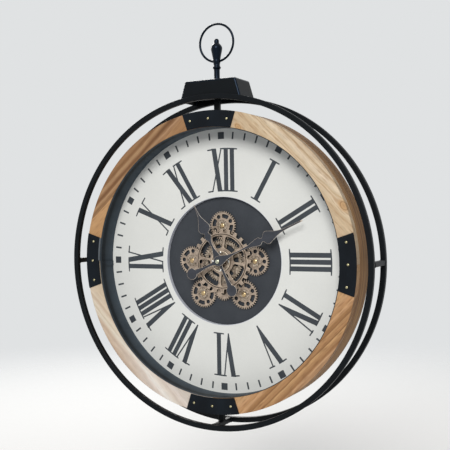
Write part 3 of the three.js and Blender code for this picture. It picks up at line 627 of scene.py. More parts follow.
def make_crown():
    centre = (0, (CROWN_BOTTOM + CROWN_TOP) / 2, (CROWN_BACK + CROWN_FRONT) / 2)
    crown = block("crown_block_folded_sheet", centre,
                  (CROWN_WIDTH, CROWN_TOP - CROWN_BOTTOM, CROWN_FRONT - CROWN_BACK))
    give(crown, [black_coat, gloss_coat])
    middle = spot(*centre)
    edit(crown, "DESELECT")
    pick(crown, "verts", lambda at, _: at.z > middle.z)
    bpy.ops.transform.resize(value=(CROWN_TOP_WIDTH / CROWN_WIDTH, 1, 1), center_override=middle)
    bottom = spot(0, CROWN_BOTTOM, 0).z
    pick(crown, "edges", lambda at, _: at.z > bottom + 1e-4)
    bpy.ops.mesh.bevel(offset=3.4 * MM, segments=5)
    crown.active_material_index = 1
    bpy.ops.object.material_slot_assign()
    pick(crown, "faces", lambda at, normal: normal.z < -0.9)
    bpy.ops.mesh.delete(type="ONLY_FACE")
    leave()
    tidy_mesh(crown)
    with_modifier(crown, "SOLIDIFY", thickness=2 * MM, offset=-1.0, use_even_offset=True)
    window = block("window_for_hanger", (0, 312.8, CROWN_BACK), (14.4, 23.4, 8))
    edit(window, "DESELECT")
    pick(window, "edges", lambda at, _: abs(at.y - spot(0, 0, CROWN_BACK).y) < 1e-5)
    bpy.ops.mesh.bevel(offset=3 * MM, segments=4)
    leave()
    cut(crown, window)
    return dress(crown, "black_steel", [black_coat, gloss_coat], "crown_block", smooth=40)


crown = make_crown()
print("crown faces", len(crown.data.polygons))

# %% [markdown]
# ## Finial and pendant ring
# The finial is turned from bar on a lathe: a collar, a drum that is drilled across for the ring, two beads,
# and a slender urn with a small point. Its section is a line of radii and heights, with small flats and
# rounds between them. The ring is 4.2 mm wire, closed by a butt weld.

# %% Finial and ring
FINIAL_LINE = [
    (0.0, 0.0), (8.0, 0.0), (8.0, 2.2), (7.4, 3.0), (5.7, 3.8), (5.3, 5.0), (5.3, 20.2), (5.9, 21.6),
    (7.0, 22.8), (7.4, 24.0), (7.2, 25.2), (6.2, 26.6), (5.8, 28.0), (5.8, 30.6), (6.3, 32.4), (6.8, 34.6),
    (6.9, 37.0), (6.6, 38.4), (6.9, 40.0), (7.6, 44.0), (8.6, 49.0), (9.7, 54.0), (10.4, 58.0),
    (10.3, 60.6), (9.4, 63.2), (7.8, 65.4), (6.1, 67.0), (4.9, 68.6), (4.4, 70.2), (4.7, 71.8), (4.6, 73.4),
    (3.9, 75.0), (2.4, 76.4), (0.0, 77.0),
]
FINIAL_FOOT, RING_AXIS_UP, RING_RADIUS, WIRE = 327.3, 362.5, 34.0, 2.1

finial = walk("turned_finial", [spot(r, FINIAL_FOOT + rise, AXIS_OFF_WALL) for r, rise in FINIAL_LINE],
              closed=False)
spin(finial, 64, spot(0, 0, AXIS_OFF_WALL), axis=(0, 0, 1))
drill(finial, 3.1, 30, 32, (0, RING_AXIS_UP, AXIS_OFF_WALL), (0, math.pi / 2, 0))
dress(finial, "black_steel", gloss_coat, "finial", smooth=45)

ring_middle = spot(0, RING_AXIS_UP + RING_RADIUS, AXIS_OFF_WALL)
work_on(None)
bpy.ops.mesh.primitive_circle_add(vertices=20, radius=WIRE * MM,
                                  location=ring_middle + Vector((RING_RADIUS * MM, 0, 0)))
ring = bpy.context.object
ring.name = "pendant_wire_ring"
bpy.ops.object.transform_apply(location=True, rotation=True, scale=True)
spin(ring, 128, ring_middle)
dress(ring, "black_steel", gloss_coat, "pendant_ring", body="pendant_ring", smooth=60)
print("finial and ring faces", len(finial.data.polygons), len(ring.data.polygons))

# %% [markdown]
# ## Wood
# The rim is sawn from reclaimed boards, one board to a quarter, so each quarter has its own tone and its own
# grain. A board shows its growth rings as bands that run along it, so the pattern is a ramp of colours laid
# across the board. A slow noise makes the bands wander, as the trunk did. Where two strips were glued side by
# side, two colours of the ramp stand close together. Fibres, a mottled figure and small dark dashes run along
# the grain, and near a knot the bands are pulled round it.

# %% Wood finish
BOARD_FROM, BOARD_TO = 204.0, 272.0
# where the face of the rim is, in metres, and how the rings lean behind it
RIM_FACE, RING_LEAN, LEAN_FROM = -0.0739, 0.5, 0.037
# a knot draws the bands apart from 3 mm to 17 mm away, by up to 0.72 of the distance
KNOT_REACH, KNOT_PULL = (0.003, 0.017), -0.72
KNOT_RINGS = [(0.0, "#8A6440"), (0.22, "#B48C60"), (0.48, "#C29C70"), (0.56, "#8E6844"), (0.66, "#C09A6E"),
              (0.9, "#D0AE84")]


def along_grain(wood, along, sizes, detail=2.0, warp=0.0):
    """Noise whose blots have the given length along the grain and width across it, in millimetres."""
    scale = (1000.0 / sizes[0], 1000.0 / sizes[1], 1000.0 / sizes[1])
    return wood.noise(1.0, detail, wood.vector("MULTIPLY", along, scale), Roughness=0.55, Distortion=warp)


def from_knot(wood, place, knot, squash):
    """The way from a knot, given by its places along and across the grain, and its squashed length."""
    away = wood.vector("SUBTRACT", place, (knot[0] * MM, RIM_FACE, knot[1] * MM))
    return away, wood.length(wood.vector("MULTIPLY", away, squash))


def pulled_round(wood, along, knot):
    """Draws the bands apart round a knot, which the tree grew past."""
    away, gap = from_knot(wood, along, knot, (0.5, 0.6, 1.0))
    near = wood.fit(gap, *KNOT_REACH, KNOT_PULL, 0.0, interpolation_type="SMOOTHSTEP")
    pull_across = wood.vector("MULTIPLY", wood.scaled(away, near), (0.0, 0.0, 1.0))
    return wood.vector("ADD", along, pull_across)


def with_knot(wood, colour, grain_place, knot):
    """Lays the rings of one knot over the colour of the board."""
    gap = from_knot(wood, grain_place, knot, (0.62, 0.5, 1.0))[1]
    ragged = wood.noise(170.0, 2.0, grain_place)
    share = wood.fit(wood.maths("MULTIPLY_ADD", ragged, 0.0026, gap), 0.0, knot[2] * MM)
    inside = wood.fit(share, 0.55, 1.0, 0.85, 0.0)
    return wood.mix(inside, colour, wood.ramp(share, KNOT_RINGS))


def board(name, bands, grain, wander, streak, figure, dashes, relief, far_bands=(), turnover=None, knots=()):
    """Wood cut from one board.

    bands are the colours across the board, and far_bands those at its other end, where the one gives way to
    the other over the stretch called turnover. grain is the angle of the fibres on the dial. wander is how
    far the bands stray, streak and figure are how much the fibres and the blots change the tone, dashes is
    the depth and tone of the pores, and relief is how worn the face is. A knot is its place along and across
    the grain and its radius.
    """
    wood = Finish(name, 0.3)
    grain_place = wood.node("Mapping", {"Vector": wood.place, "Rotation": (0.0, math.radians(grain), 0.0)})
    along = grain_place
    for knot in knots:
        along = pulled_round(wood, along, knot)
    parts = add_node(wood.tree, "SeparateXYZ", {0: along}).outputs
    # below the face the rings lean, as they do in the side of a board
    leaning = wood.maths("MULTIPLY_ADD", parts["Y"], RING_LEAN, LEAN_FROM - 2.5 * wander * MM)
    across = wood.maths("ADD", wood.maths("ABSOLUTE", parts["Z"]), leaning)
    slow = along_grain(wood, along, (75.0, 26.0))
    across = wood.maths("MULTIPLY_ADD", slow, 5.0 * wander * MM, across)
    colour = wood.bands(across, BOARD_FROM, BOARD_TO, bands)
    if far_bands:
        share = wood.fit(parts["X"], turnover[0] * MM, turnover[1] * MM)
        colour = wood.mix(share, colour, wood.bands(across, BOARD_FROM, BOARD_TO, far_bands))
    # fibres are about 0.5 mm wide on the real wood and are drawn 1.6 mm wide, so that they show
    fibres = along_grain(wood, along, (26.0, 1.6), detail=3.0)
    blots = along_grain(wood, along, (14.0, 5.0), warp=0.6)
    for noise, amount in ((fibres, streak), (blots, figure)):
        colour = wood.shaded(colour, noise, 1.0 - amount, 1.0 + amount)
    # dashes are the dark flecks of the pores, in cells 25 mm long and 4 mm wide
    depth, tone = dashes
    cells = {"Vector": wood.vector("MULTIPLY", along, (40.0, 250.0, 250.0)), "Scale": 1.0}
    pores = wood.fit(wood.node("TexVoronoi", cells, "Distance", feature="F1"), 0.08, 0.42, depth, 0.0)
    colour = wood.mix(pores, colour, linear(tone))
    for knot in knots:
        colour = with_knot(wood, colour, grain_place, knot)
    # brushing wears down the soft wood between the fibres
    return wood.ready(colour, (fibres, 0.5, 0.72), (relief, 0.0009, fibres))


print("wood finish: bands from", BOARD_FROM, "to", BOARD_TO, "mm from the middle of the dial")

# %% [markdown]
# A board is its colours from the inner edge of the rim to the outer one, the angle of its grain, and how much
# it is streaked, mottled and worn. Two of them change along their length, and the pale one has two knots.

# %% Four boards
knotty_pine = board(
    "pale_knotty_board",
    [(206, "#C2A98B"), (217, "#C6B092"), (226, "#C4AD8E"), (230, "#BBA182"), (233, "#C6B091"),
     (238, "#CCB89B"), (241.5, "#D4C0A4"), (243.6, "#B99E7F"), (245.2, "#D0BCA0"), (247.5, "#BEA686"),
     (250, "#CCBA9F"), (254, "#D7C5AD"), (257, "#D4C1A8"), (260, "#C4AE91"), (262, "#AC9275"),
     (264, "#CFBCA0"), (267, "#CDBAA0"), (270, "#C2AB90")],
    grain=-45, wander=1.6, streak=0.09, figure=0.07, dashes=(0.55, "#9F7B58"), relief=0.1,
    knots=[(-126.9, 209.4, 9.0), (108.5, 245.1, 11.0)],
)
orange_board = board(
    "orange_striped_board",
    [(206, "#B48B61"), (220, "#B89066"), (229.7, "#B68D64"), (230.3, "#785738"), (231.4, "#92704F"),
     (233.8, "#7F5E40"), (236.4, "#9A7755"), (240, "#A78462"), (242.8, "#7E5B3C"), (245.6, "#6F4C30"),
     (248.4, "#886547"), (251.4, "#A3815F"), (254.6, "#A17F5D"), (257.2, "#846040"), (260.4, "#7E5A3B"),
     (263.6, "#916D4B"), (266.6, "#977251"), (270, "#8C694C")],
    grain=41.3, wander=0.8, streak=0.1, figure=0.05, dashes=(0.35, "#715032"), relief=0.22,
    far_bands=[(206, "#96704C"), (222, "#9B7551"), (231, "#9C7754"), (234, "#9B7656"), (237.5, "#A88464"),
               (240, "#896647"), (242.8, "#704D30"), (245.6, "#634329"), (248.4, "#846141"),
               (251.4, "#9D7A58"), (254.6, "#9F7C59"), (257.4, "#805C3E"), (260.6, "#714F30"),
               (264, "#826148"), (270, "#806048")],
    turnover=(20, 110),
)
bleached_board = board(
    "bleached_board",
    [(206, "#C5B39B"), (217, "#CAB8A1"), (223, "#CBBAA5"), (227, "#D2C3AF"), (229.5, "#C2AE97"),
     (232, "#C4B19D"), (236, "#D5C8B6"), (239, "#D1C5B2"), (241.4, "#C7B8A3"), (244, "#D4CABA"),
     (247, "#D1C5B4"), (250, "#CAB9A5"), (253, "#BCA692"), (256, "#BCA793"), (259, "#C8B4A1"),
     (262, "#C1AC96"), (265, "#B89F8A"), (270, "#AD9582")],
    grain=-45, wander=1.8, streak=0.05, figure=0.05, dashes=(0.25, "#B0967E"), relief=0.08,
    far_bands=[(206, "#C3B9AF"), (217, "#CAC0B7"), (223, "#D7CCC4"), (227, "#D0C4BA"), (230, "#C7BAAF"),
               (234, "#D4C9BD"), (238, "#DBD2C8"), (242, "#DDD7D0"), (246, "#DFD9D2"), (250, "#D6CAC1"),
               (254, "#CABEB4"), (258, "#C7BAAF"), (262, "#C8B9AC"), (266, "#BEAE9E"), (270, "#B3A191")],
    turnover=(-60, 60),
)
striped_board = board(
    "strongly_striped_board",
    [(206, "#B99369"), (214, "#BC956E"), (220, "#B28861"), (223.4, "#AE845B"), (226.4, "#BE966E"),
     (229.2, "#B28963"), (232, "#98714A"), (235.6, "#916944"), (237, "#815C3B"), (238.4, "#AF885F"),
     (241.4, "#A37B54"), (244, "#A47B54"), (246.4, "#9D754E"), (247.5, "#785333"), (249.2, "#BB9468"),
     (252, "#AE865D"), (256, "#9D7650"), (259, "#8E6743"), (261, "#9A7350"), (262.6, "#BB9570"),
     (265, "#A17D5B"), (270, "#A68261")],
    grain=45, wander=0.7, streak=0.13, figure=0.06, dashes=(0.55, "#765132"), relief=0.4,
)
print("four boards")

# %% [markdown]
# Each quarter is a section 29.5 mm wide and 16 mm thick, turned through a quarter of a circle. Its corners
# are sanded to a radius of about 1 mm. The ends meet under the black plates.

# %% The four quarters of the rim
WOOD_INNER, WOOD_OUTER, WOOD_BACK, WOOD_FRONT = 241.5, 271.0, 57.9, 73.9
QUARTERS = [
    ("wood_upper_right", 0, knotty_pine, "wood_pale_knotty"),
    ("wood_upper_left", 90, orange_board, "wood_orange"),
    ("wood_lower_left", 180, bleached_board, "wood_bleached"),
    ("wood_lower_right", 270, striped_board, "wood_striped"),
]
section = eased(box_section(WOOD_INNER, WOOD_OUTER, WOOD_BACK, WOOD_FRONT), 1.1)
first_quarter = turned("rim_board", section, 60, start=0.035, sweep=89.93)
for node, start, finish, slot in QUARTERS:
    quarter = copy_of(first_quarter, node.replace("wood", "rim_board"), turn=start)
    dress(quarter, slot, finish, node, smooth=40)
discard(first_quarter)
print("four quarters of", round(WOOD_OUTER - WOOD_INNER, 1), "mm board")

# %% [markdown]
# ## Case
# Behind the rim, the drum of the case is bent from a thick veneer whose grain runs round it. Its streaks have
# to follow the curve, so the pattern is worked out from the angle round the dial, the depth and the radius.
# The angle jumps at 6 o'clock, where the post hides the jump.

# %% Bent veneer
DRUM_BACK, DRUM_FRONT, DRUM_RADIUS = 9.9, 57.6, 271.0


def bent_veneer(name, tones, streak_mm):
    veneer = Finish(name, 0.25, Roughness=0.62)
    parts = add_node(veneer.tree, "SeparateXYZ", {0: veneer.place}).outputs
    angle = veneer.maths("ARCTAN2", parts["X"], parts["Z"])
    slow = veneer.maths("MULTIPLY", angle, DRUM_RADIUS * MM * 7.0)
    across = veneer.maths("MULTIPLY", parts["Y"], 1.0 / (streak_mm * MM))
    sheet = veneer.node("CombineXYZ", {0: slow, 1: across, 2: 0.0})
    streaks = veneer.noise(1.0, 3.0, sheet, Roughness=0.55, Distortion=0.4)
    fine = veneer.noise(1.0, 2.0, veneer.vector("MULTIPLY", sheet, (6.0, 5.0, 1.0)))
    colour = veneer.shaded(veneer.ramp(streaks, tones), fine, 0.82, 1.08)
    return veneer.ready(colour, bump=(0.25, 0.0004, fine))


drum_veneer = bent_veneer(
    "bent_oak_veneer", [(0.3, "#75543A"), (0.45, "#936C48"), (0.6, "#A98253"), (0.75, "#9B7958")], 5.0
)
section = eased(box_section(262.0, DRUM_RADIUS, DRUM_BACK, DRUM_FRONT), 1.0)
dress(turned("bent_case_drum", section, 192), "side_wood", drum_veneer, "case_side", smooth=40)
print("drum", round(DRUM_FRONT - DRUM_BACK, 1), "mm deep")

# %% [markdown]
# The inside of the rim is lined with a strip of dark grey painted sheet. Its front edge is rolled over
# into a narrow hem, which stands a little proud, catches the light and hides the raw edge of the boards.
# Under the hem the paint is made nearly black, a painted shade, and towards the dial it is made paler, a
# painted light thrown back by the dial. The two ends of the strip lap over each other at 9 o'clock. The dial is
# cut out in the middle, and its cut edge is a bluish grey.

# %% Liner, painted disc and dial
LINER_BACK, LINER_FRONT = 28.0, 74.0
# height off the wall and the share of the full tone kept there: painted shade under the hem, painted light
# towards the dial
DEPTH_SHADE = [(30.0, "#FFFFFF"), (40.0, "#ECECEC"), (48.0, "#DDDDDD"), (52.0, "#CECECE"), (56.0, "#ABABAB"),
        (59.5, "#848484"), (67.5, "#808080"), (69.0, "#E4E4E4"), (74.0, "#E4E4E4")]
LINER_SECTION = [
    (242.3, 28.6), (243.5, 28.6), (243.5, 57.6), (241.35, 57.75), (241.35, 72.6), (241.2, 73.3),
    (240.85, 73.6), (240.5, 73.4), (240.3, 72.8), (240.3, 70.4), (240.6, 69.9), (241.0, 69.7),
    (241.0, 58.2), (242.3, 57.2),
]
DISH_SECTION = [
    (4.8, 18.3), (119.2, 18.3), (121.5, 19.8), (121.5, 23.5), (131.5, 23.5), (131.5, 25.0), (120.8, 25.0),
    (120.0, 24.2), (120.0, 21.6), (118.9, 20.3), (4.8, 20.3),
]
PINION_UP, DIAL_FRONT = -55.68, 28.3


def flat_paint(name, dark, light, roughness, cloud_mm=40.0, shine=0.25, speckle=0.06, depth_shade=()):
    """Matt paint on sheet: a faint cloud of tone, and a fine roller stipple drawn 3 mm wide. The tone may
    also be scaled by the height off the wall, which paints shade and light into it."""
    paint = Finish(name, shine, Roughness=roughness)
    colour = paint.ramp(paint.noise(1000.0 / cloud_mm, 4.0), [(0.35, dark), (0.68, light)])
    stipple = paint.noise(330.0)
    colour = paint.shaded(colour, stipple, 1.0 - speckle, 1.0 + speckle * 0.5)
    if depth_shade:
        # the tone is scaled by the height off the wall: painted shade under the hem, painted light towards the
        # dial
        depth = add_node(paint.tree, "SeparateXYZ", {0: paint.place}).outputs["Y"]
        left = paint.bands(depth, -LINER_BACK, -LINER_FRONT, [(-height, tone) for height, tone in depth_shade])
        colour = paint.vector("MULTIPLY", colour, left)
    return paint.ready(colour, bump=(0.12, 0.0001, stipple))


# the lining has painted shade under its hem and painted light towards the dial
liner_paint = flat_paint("slate_grey_lining_paint", "#3E4851", "#47525C", 0.5, shine=0.12, depth_shade=DEPTH_SHADE)
# the lap over the plate is painted a paler grey than the lining
seam_paint = flat_paint("paler_grey_lap_paint", "#585E64", "#646A70", 0.5, shine=0.15)
disc_paint = flat_paint("charcoal_disc_paint", "#34383E", "#3B3F45", 0.55)
dial_paper = flat_paint("off_white_printed_dial", "#DADCDA", "#DFE1DF", 0.6, cloud_mm=120.0, speckle=0.012)
dress(turned("rolled_edge_liner", LINER_SECTION, 240), "liner_paint", liner_paint, "rim_liner", smooth=40)
section = eased(box_section(240.55, 241.4, 30.0, 69.4), 0.3)
dress(turned("liner_overlap_at_9", section, 6, start=180.4, sweep=2.2), "liner_paint", liner_paint, smooth=40)
section = eased(box_section(240.5, 243.4, 74.3, 76.0), 0.5)
lap = turned("liner_lap_over_plate", section, 12, start=169.6, sweep=10.2)
dress(lap, "liner_paint", seam_paint, smooth=40)

section = eased(box_section(118.0, 261.7, 25.3, DIAL_FRONT), 0.3, steps=2)
dress(turned("round_dial_with_window", section, 240), "dial_card", dial_paper, "dial_board", smooth=40)
edge_paper = flat_paint("blue_grey_cut_edge", "#CACED8", "#D4D8E2", 0.6, cloud_mm=60.0, speckle=0.02)
section = eased(box_section(117.4, 118.15, 20.35, 28.45), 0.2)
dress(turned("window_collar", section, 192), "dial_card", edge_paper, smooth=40)

dish = turned("pressed_charcoal_dish", DISH_SECTION, 192)
drill(dish, 2.0, 12, 24, (0, PINION_UP, 19.3), (math.pi / 2, 0, 0))
dress(dish, "disc_paint", disc_paint, "sunk_disc")
print("dial, dish and liner in place")

# %% [markdown]
# ## Black joint plates and their pins
# Four plates of blackened sheet cover the joints of the rim. Their outline is a short piece of a ring, a little
# wider outside than inside. Each is held by three domed brass pins, whose heads are hammered by hand and so
# are not quite smooth. The plate was touched up round the pins, so the foot of each head is black.

# %% Plates
PLATE_BACK, PLATE_FRONT = 74.2, 75.4
PLATE_INNER, PLATE_OUTER = 241.6, 271.0
# half the angle of a plate, outside and inside, and the angle between its pins
HALF_OUTER, HALF_INNER, PIN_STEP = 11.3, 10.4, 8.3
PIN_CIRCLE, BARE_PIN_RADIUS = (PLATE_INNER + PLATE_OUTER) / 2, 1.9
PIN_HEAD = [(0.0, 75.7), (2.4, 75.7), (2.5, 75.9), (2.45, 76.2), (2.1, 76.7), (1.5, 77.05), (0.8, 77.25),
            (0.0, 77.3)]


def hammered(name, base, bright, roughness, dent_mm, depth=0.35):
    """Metal with faint hammer dents and a cloudy tone, for heads and small castings."""
    metal = Finish(name, Metallic=1.0, Roughness=roughness)
    colour = metal.ramp(metal.noise(320.0, 3.0), [(0.32, base), (0.66, bright)])
    return metal.ready(colour, bump=(depth, 0.0003, metal.noise(1000.0 / dent_mm, 1.0)))


plate_black = powder_coat("blackened_plate_sheet", "#090E14", "#10171E", 0.5, peel=0.35, shine=0.12)
pin_brass = hammered("pale_brass_pin_heads", "#9C9470", "#BCB592", 0.34, 1.6)
outline = curve(PLATE_OUTER, -HALF_OUTER, HALF_OUTER, 20) + curve(PLATE_INNER, HALF_INNER, -HALF_INNER, 20)
first_plate = flat_piece("joint_plate", [eased(outline, 0.9, steps=2)], PLATE_BACK, PLATE_FRONT)
ease_edges(first_plate, 0.35, angle=50)
first_pin = turned("domed_pin", PIN_HEAD, 24, centre=(PIN_CIRCLE, 0), closed=False)
give(first_pin, [pin_brass, plate_black])
pin_axis = spot(PIN_CIRCLE, 0, 0)
for face in first_pin.data.polygons:
    from_axis = math.hypot(face.center.x - pin_axis.x, face.center.z - pin_axis.z)
    face.material_index = int(from_axis > BARE_PIN_RADIUS * MM)
for side, turn in (("right", 0), ("top", 90), ("left", 180), ("bottom", 270)):
    plate = copy_of(first_plate, "joint_plate_" + side, turn=turn)
    dress(plate, "plate_steel", plate_black, "plate_" + side)
    for number, offset in enumerate((-PIN_STEP, 0, PIN_STEP)):
        node = f"pin_{side}_{number + 1}"
        pin = copy_of(first_pin, "brass_" + node, turn=turn + offset)
        dress(pin, "pale_brass", [pin_brass, plate_black], node, smooth=50)
discard(first_plate, first_pin)
print("four plates, twelve pins")

# %% [markdown]
# ## Print on the dial
# The track is twelve squares and four strokes between each two of them. The numerals are high and narrow, with
# a heavy upright and a hairline, and long flat serifs that follow the circle. They stand with their feet
# inwards. The print is screened ink, so each stroke is a very thin slab lying on the dial.

# %% Minute track
INK, TRACK_RADIUS, TRACK_SHIFT = 0.12, 230.0, (0.7, -0.4)


def ink_slab(name, corners, rise=INK):
    return flat_piece(name, [corners], DIAL_FRONT, DIAL_FRONT + rise)


ink = flat_paint("slate_screen_ink", "#3A3F45", "#42484E", 0.6, cloud_mm=30.0, speckle=0.03)
squares = ink_slab("hour_squares", box_outline((0, TRACK_RADIUS), (12.6, 12.6)))
stroke = ink_slab("minute_stroke", eased(box_outline((0, TRACK_RADIUS - 0.1), (3.2, 13.0)), 0.4))
track = join(*[copy_of(stroke, "stroke", turn=6 * k) for k in (1, 2, 3, 4)])
discard(stroke)
for row in (track, squares):
    spin(row, 12, spot(0, 0, 0), repeat=True)
track = moved(join(track, squares), "printed_minute_track", to=(*TRACK_SHIFT, 0))
dress(track, "dial_card", ink)
print("track faces", len(track.data.polygons))

# %% [markdown]
# Three letters are drawn once: I is an upright, V and X each have a heavy leg and a hairline leg. A numeral is
# a row of copies. Its serifs are added last: each letter says where its serifs begin and end, and those that
# touch become one long bar.

# %% Numerals
FOOT, HIGH, HAIRLINE = 130.0, 79.0, 2.6
NUMERAL_SHIFT, SERIF_CURVE, SERIF_STEPS = (3.0, -2.4), 420.0, 12
# the strokes of each letter, in millimetres right of its middle and up from its foot
STROKES = {
    "I": ([(-4.3, 0), (4.3, 0), (4.3, HIGH), (-4.3, HIGH)],),
    "V": ([(-14.2, HIGH), (-4.7, HIGH), (4.3, 0.31 * HIGH), (1.6, 0), (-0.6, 0)],
          [(8.0, HIGH), (10.6, HIGH), (1.6, 0), (-1.0, 0)]),
    "X": ([(-10.9, HIGH), (-1.4, HIGH), (10.9, 0), (1.4, 0)],
          [(7.8, HIGH), (10.4, HIGH), (-7.8, 0), (-10.4, 0)]),
}
TOP_SERIFS = {"I": [(-10.7, 10.7)], "V": [(-21.5, -4.0), (5.0, 17.5)], "X": [(-19.8, -1.8), (7.0, 21.3)]}
FOOT_SERIFS = {"I": [(-10.7, 10.7)], "V": [], "X": [(-18.8, -7.4), (1.2, 18.6)]}
# the letters of each hour and how far right of its middle they stand
NUMERALS = [
    [("I", 0)],
    [("I", -6.1), ("I", 6.1)],
    [("I", -14.8), ("I", -2.7), ("I", 9.4)],
    [("I", -11.5), ("V", 8.4)],
    [("V", 0)],
    [("V", -7.6), ("I", 12.6)],
    [("V", -10.4), ("I", 6.6), ("I", 18.6)],
    [("V", -14.8), ("I", 1.5), ("I", 13.2), ("I", 24.9)],
    [("I", -10.0), ("X", 8.45)],
    [("X", 0)],
    [("X", -8.6), ("I", 9.6)],
    [("X", -11.5), ("I", 7.2), ("I", 19.6)],
]


def make_letter(kind):
    """The strokes of one letter as one piece at 12 o'clock, each a little thinner than the one before."""
    slabs = []
    for number, corners in enumerate(STROKES[kind]):
        slabs.append(ink_slab("letter", [(u, FOOT + v) for u, v in corners], rise=INK - 0.02 * number))
    return join(*slabs)


def joined_spans(spans):
    """Serifs that touch become one."""
    merged = []
    for start, end in sorted(spans):
        if merged and start <= merged[-1][1] + 0.5:
            merged[-1][1] = max(merged[-1][1], end)
        else:
            merged.append([start, end])
    return merged


def serif_bar(start, end, height):
    """A long thin bar that follows the circle and thins towards its ends."""
    upper, lower = [], []
    for i in range(SERIF_STEPS + 1):
        u = start + (end - start) * i / SERIF_STEPS
        top = FOOT + height - u * u / SERIF_CURVE
        upper.append((u, top))
        lower.append((u, top - HAIRLINE * (0.8 + 0.2 * min(1, i / 2, (SERIF_STEPS - i) / 2))))
    return ink_slab("serif", upper + lower[::-1], rise=INK - 0.05)


def make_numeral(hour, row):
    parts = [copy_of(LETTERS[kind], "part", to=(u, -u * u / SERIF_CURVE, 0)) for kind, u in row]
    for serifs, height in ((TOP_SERIFS, HIGH + 0.2), (FOOT_SERIFS, HAIRLINE - 0.2)):
        for start, end in joined_spans([(a + u, b + u) for kind, u in row for a, b in serifs[kind]]):
            parts.append(serif_bar(start, end, height))
    return moved(join(*parts), f"numeral_{hour}", turn=-30 * hour)


LETTERS = {kind: make_letter(kind) for kind in STROKES}
numerals = join(*[make_numeral(number + 1, row) for number, row in enumerate(NUMERALS)])
discard(*LETTERS.values())
dress(moved(numerals, "printed_numerals", to=(*NUMERAL_SHIFT, 0)), "dial_card", ink)
print("numeral faces", len(numerals.data.polygons))

# %% [markdown]
# ## Gears
# The gears are stamped from brass sheet and then darkened, which leaves antique bronze: a matt pinkish brown
# on the flats and a black patina in the turned groove. The cut sides, the sun gear's flats and the small gear's
# hub are made darker, a painted shade, and the edges are made lighter, partly rubbed wear and partly a painted
# highlight. One tooth is drawn and repeated round the wheel, the holes are drawn the same way, and the sheet
# between them is filled and given its thickness. Teeth of the fine gears run to a point at the root.

# %% Antique bronze
# kinds of bronze face: flats; edges, rubbed and with a painted highlight; mottled hubs, also the painted shade
# of the sun gear's flats; the groove's patina, also the painted shade of the small gear's hub; cut sides in
# painted shade
FLAT, RUBBED_AND_HIGHLIT, HUB_AND_SHADE, RECESS_AND_SHADE, SHADED_FLANK = range(5)


def bronze(name, dark, middle, light, roughness, mottle_mm=9.0, patina=0.5, metal=0.55):
    """Brass that was darkened. The patina is the share of brown in its spots."""
    finish = Finish(name, 0.35, Metallic=metal, Roughness=roughness)
    stain = finish.noise(1000.0 / mottle_mm, 4.0, Roughness=0.65)
    colour = finish.ramp(stain, [(0.3, dark), (0.48, middle), (0.7, light)])
    spots = finish.fit(finish.noise(2200.0 / mottle_mm), 0.56, 0.72, 0.0, patina)
    colour = finish.mix(spots, colour, linear("#5A4836"))
    return finish.ready(colour, (stain, roughness - 0.1, roughness + 0.14), (0.4, 0.0002, stain))


BRONZES = [
    bronze("antique_bronze_flats", "#8C7E72", "#A69687", "#C0AE9C", 0.5, patina=0.35),
    # lighter edges: rubbed wear and a painted highlight
    bronze("rubbed_and_highlit_bronze_edges", "#CDBAA3", "#E2D1BB", "#F2E4D0", 0.36, patina=0.0),
    # mottled hubs, and the painted shade of the sun gear's flats
    bronze("mottled_hubs_and_painted_shade", "#4A4239", "#8F8172", "#D6C8B6", 0.42, 3.2, patina=0.85),
    # black patina in the coarse gear's groove, and a painted shade on the small gear's hub
    bronze("black_recess_and_painted_shade", "#26221E", "#342D27", "#443B33", 0.6),
    # darker bronze for the cut sides, a painted shade
    bronze("painted_shade_bronze_sides", "#35312D", "#423D37", "#524B43", 0.55),
]
stud_gold = hammered("gold_plated_caps", "#A98E66", "#D8BE94", 0.28, 2.2, depth=0.25)
screw_silver = hammered("bright_nickel_screws", "#C4C4C2", "#EAEAE8", 0.22, 2.0, depth=0.2)
print(len(BRONZES), "bronzes: flats, edges, hubs, recesses and cut sides")

# %% [markdown]
# A wheel's lines are drawn in pairs of radius and angle. One flank of a tooth is enough, because the other
# one mirrors it. A window is two curved sides with a rounded corner at each end.

# %% One tooth, repeated
MODULE, FINE_BACK, FINE_FRONT = 1.42, 22.9, 24.9


def repeated(name, count, corners, back, closed=True):
    """A line through corners, in pairs of radius and degrees, repeated round the wheel."""
    line = walk(name, [spot(*on_dial(radius, degrees), back) for radius, degrees in corners], closed)
    if count > 1:
        spin(line, count, spot(0, 0, 0), repeat=True)
    return line


def tooth_ring(name, teeth, flank, back):
    """The outline of a wheel, from one flank of a tooth in pairs of radius and share of the pitch."""
    pitch = 360 / teeth
    tooth = [(radius, -share * pitch) for radius, share in flank]
    return repeated(name, teeth, tooth + [(radius, -degrees) for radius, degrees in tooth[::-1]], back, False)


def fine_teeth(name, teeth):
    pitch_radius = MODULE * teeth / 2
    tip, root = pitch_radius + 1.32, pitch_radius - 2.35
    flank = [(root, 0.5), (root, 0.4), (root + 1.0, 0.28), (tip - 0.3, 0.105), (tip, 0.06)]
    return tooth_ring(name, teeth, flank, FINE_BACK)


def arc(radius, start, end, steps):
    return [(radius, start + (end - start) * i / steps) for i in range(steps + 1)]


def ring_line(name, radius, sides, back):
    return repeated(name, 1, arc(radius, 0, 360, sides)[:-1], back)


def bend(at_radius, at_degrees, radius, start, count):
    """Points 15 degrees apart round a place of the wheel, as pairs of radius and degrees."""
    points = []
    for i in range(count):
        x, y = (a + b for a, b in zip(on_dial(at_radius, at_degrees), on_dial(radius, start + 15 * i)))
        points.append((math.hypot(x, y), math.degrees(math.atan2(y, x))))
    return points


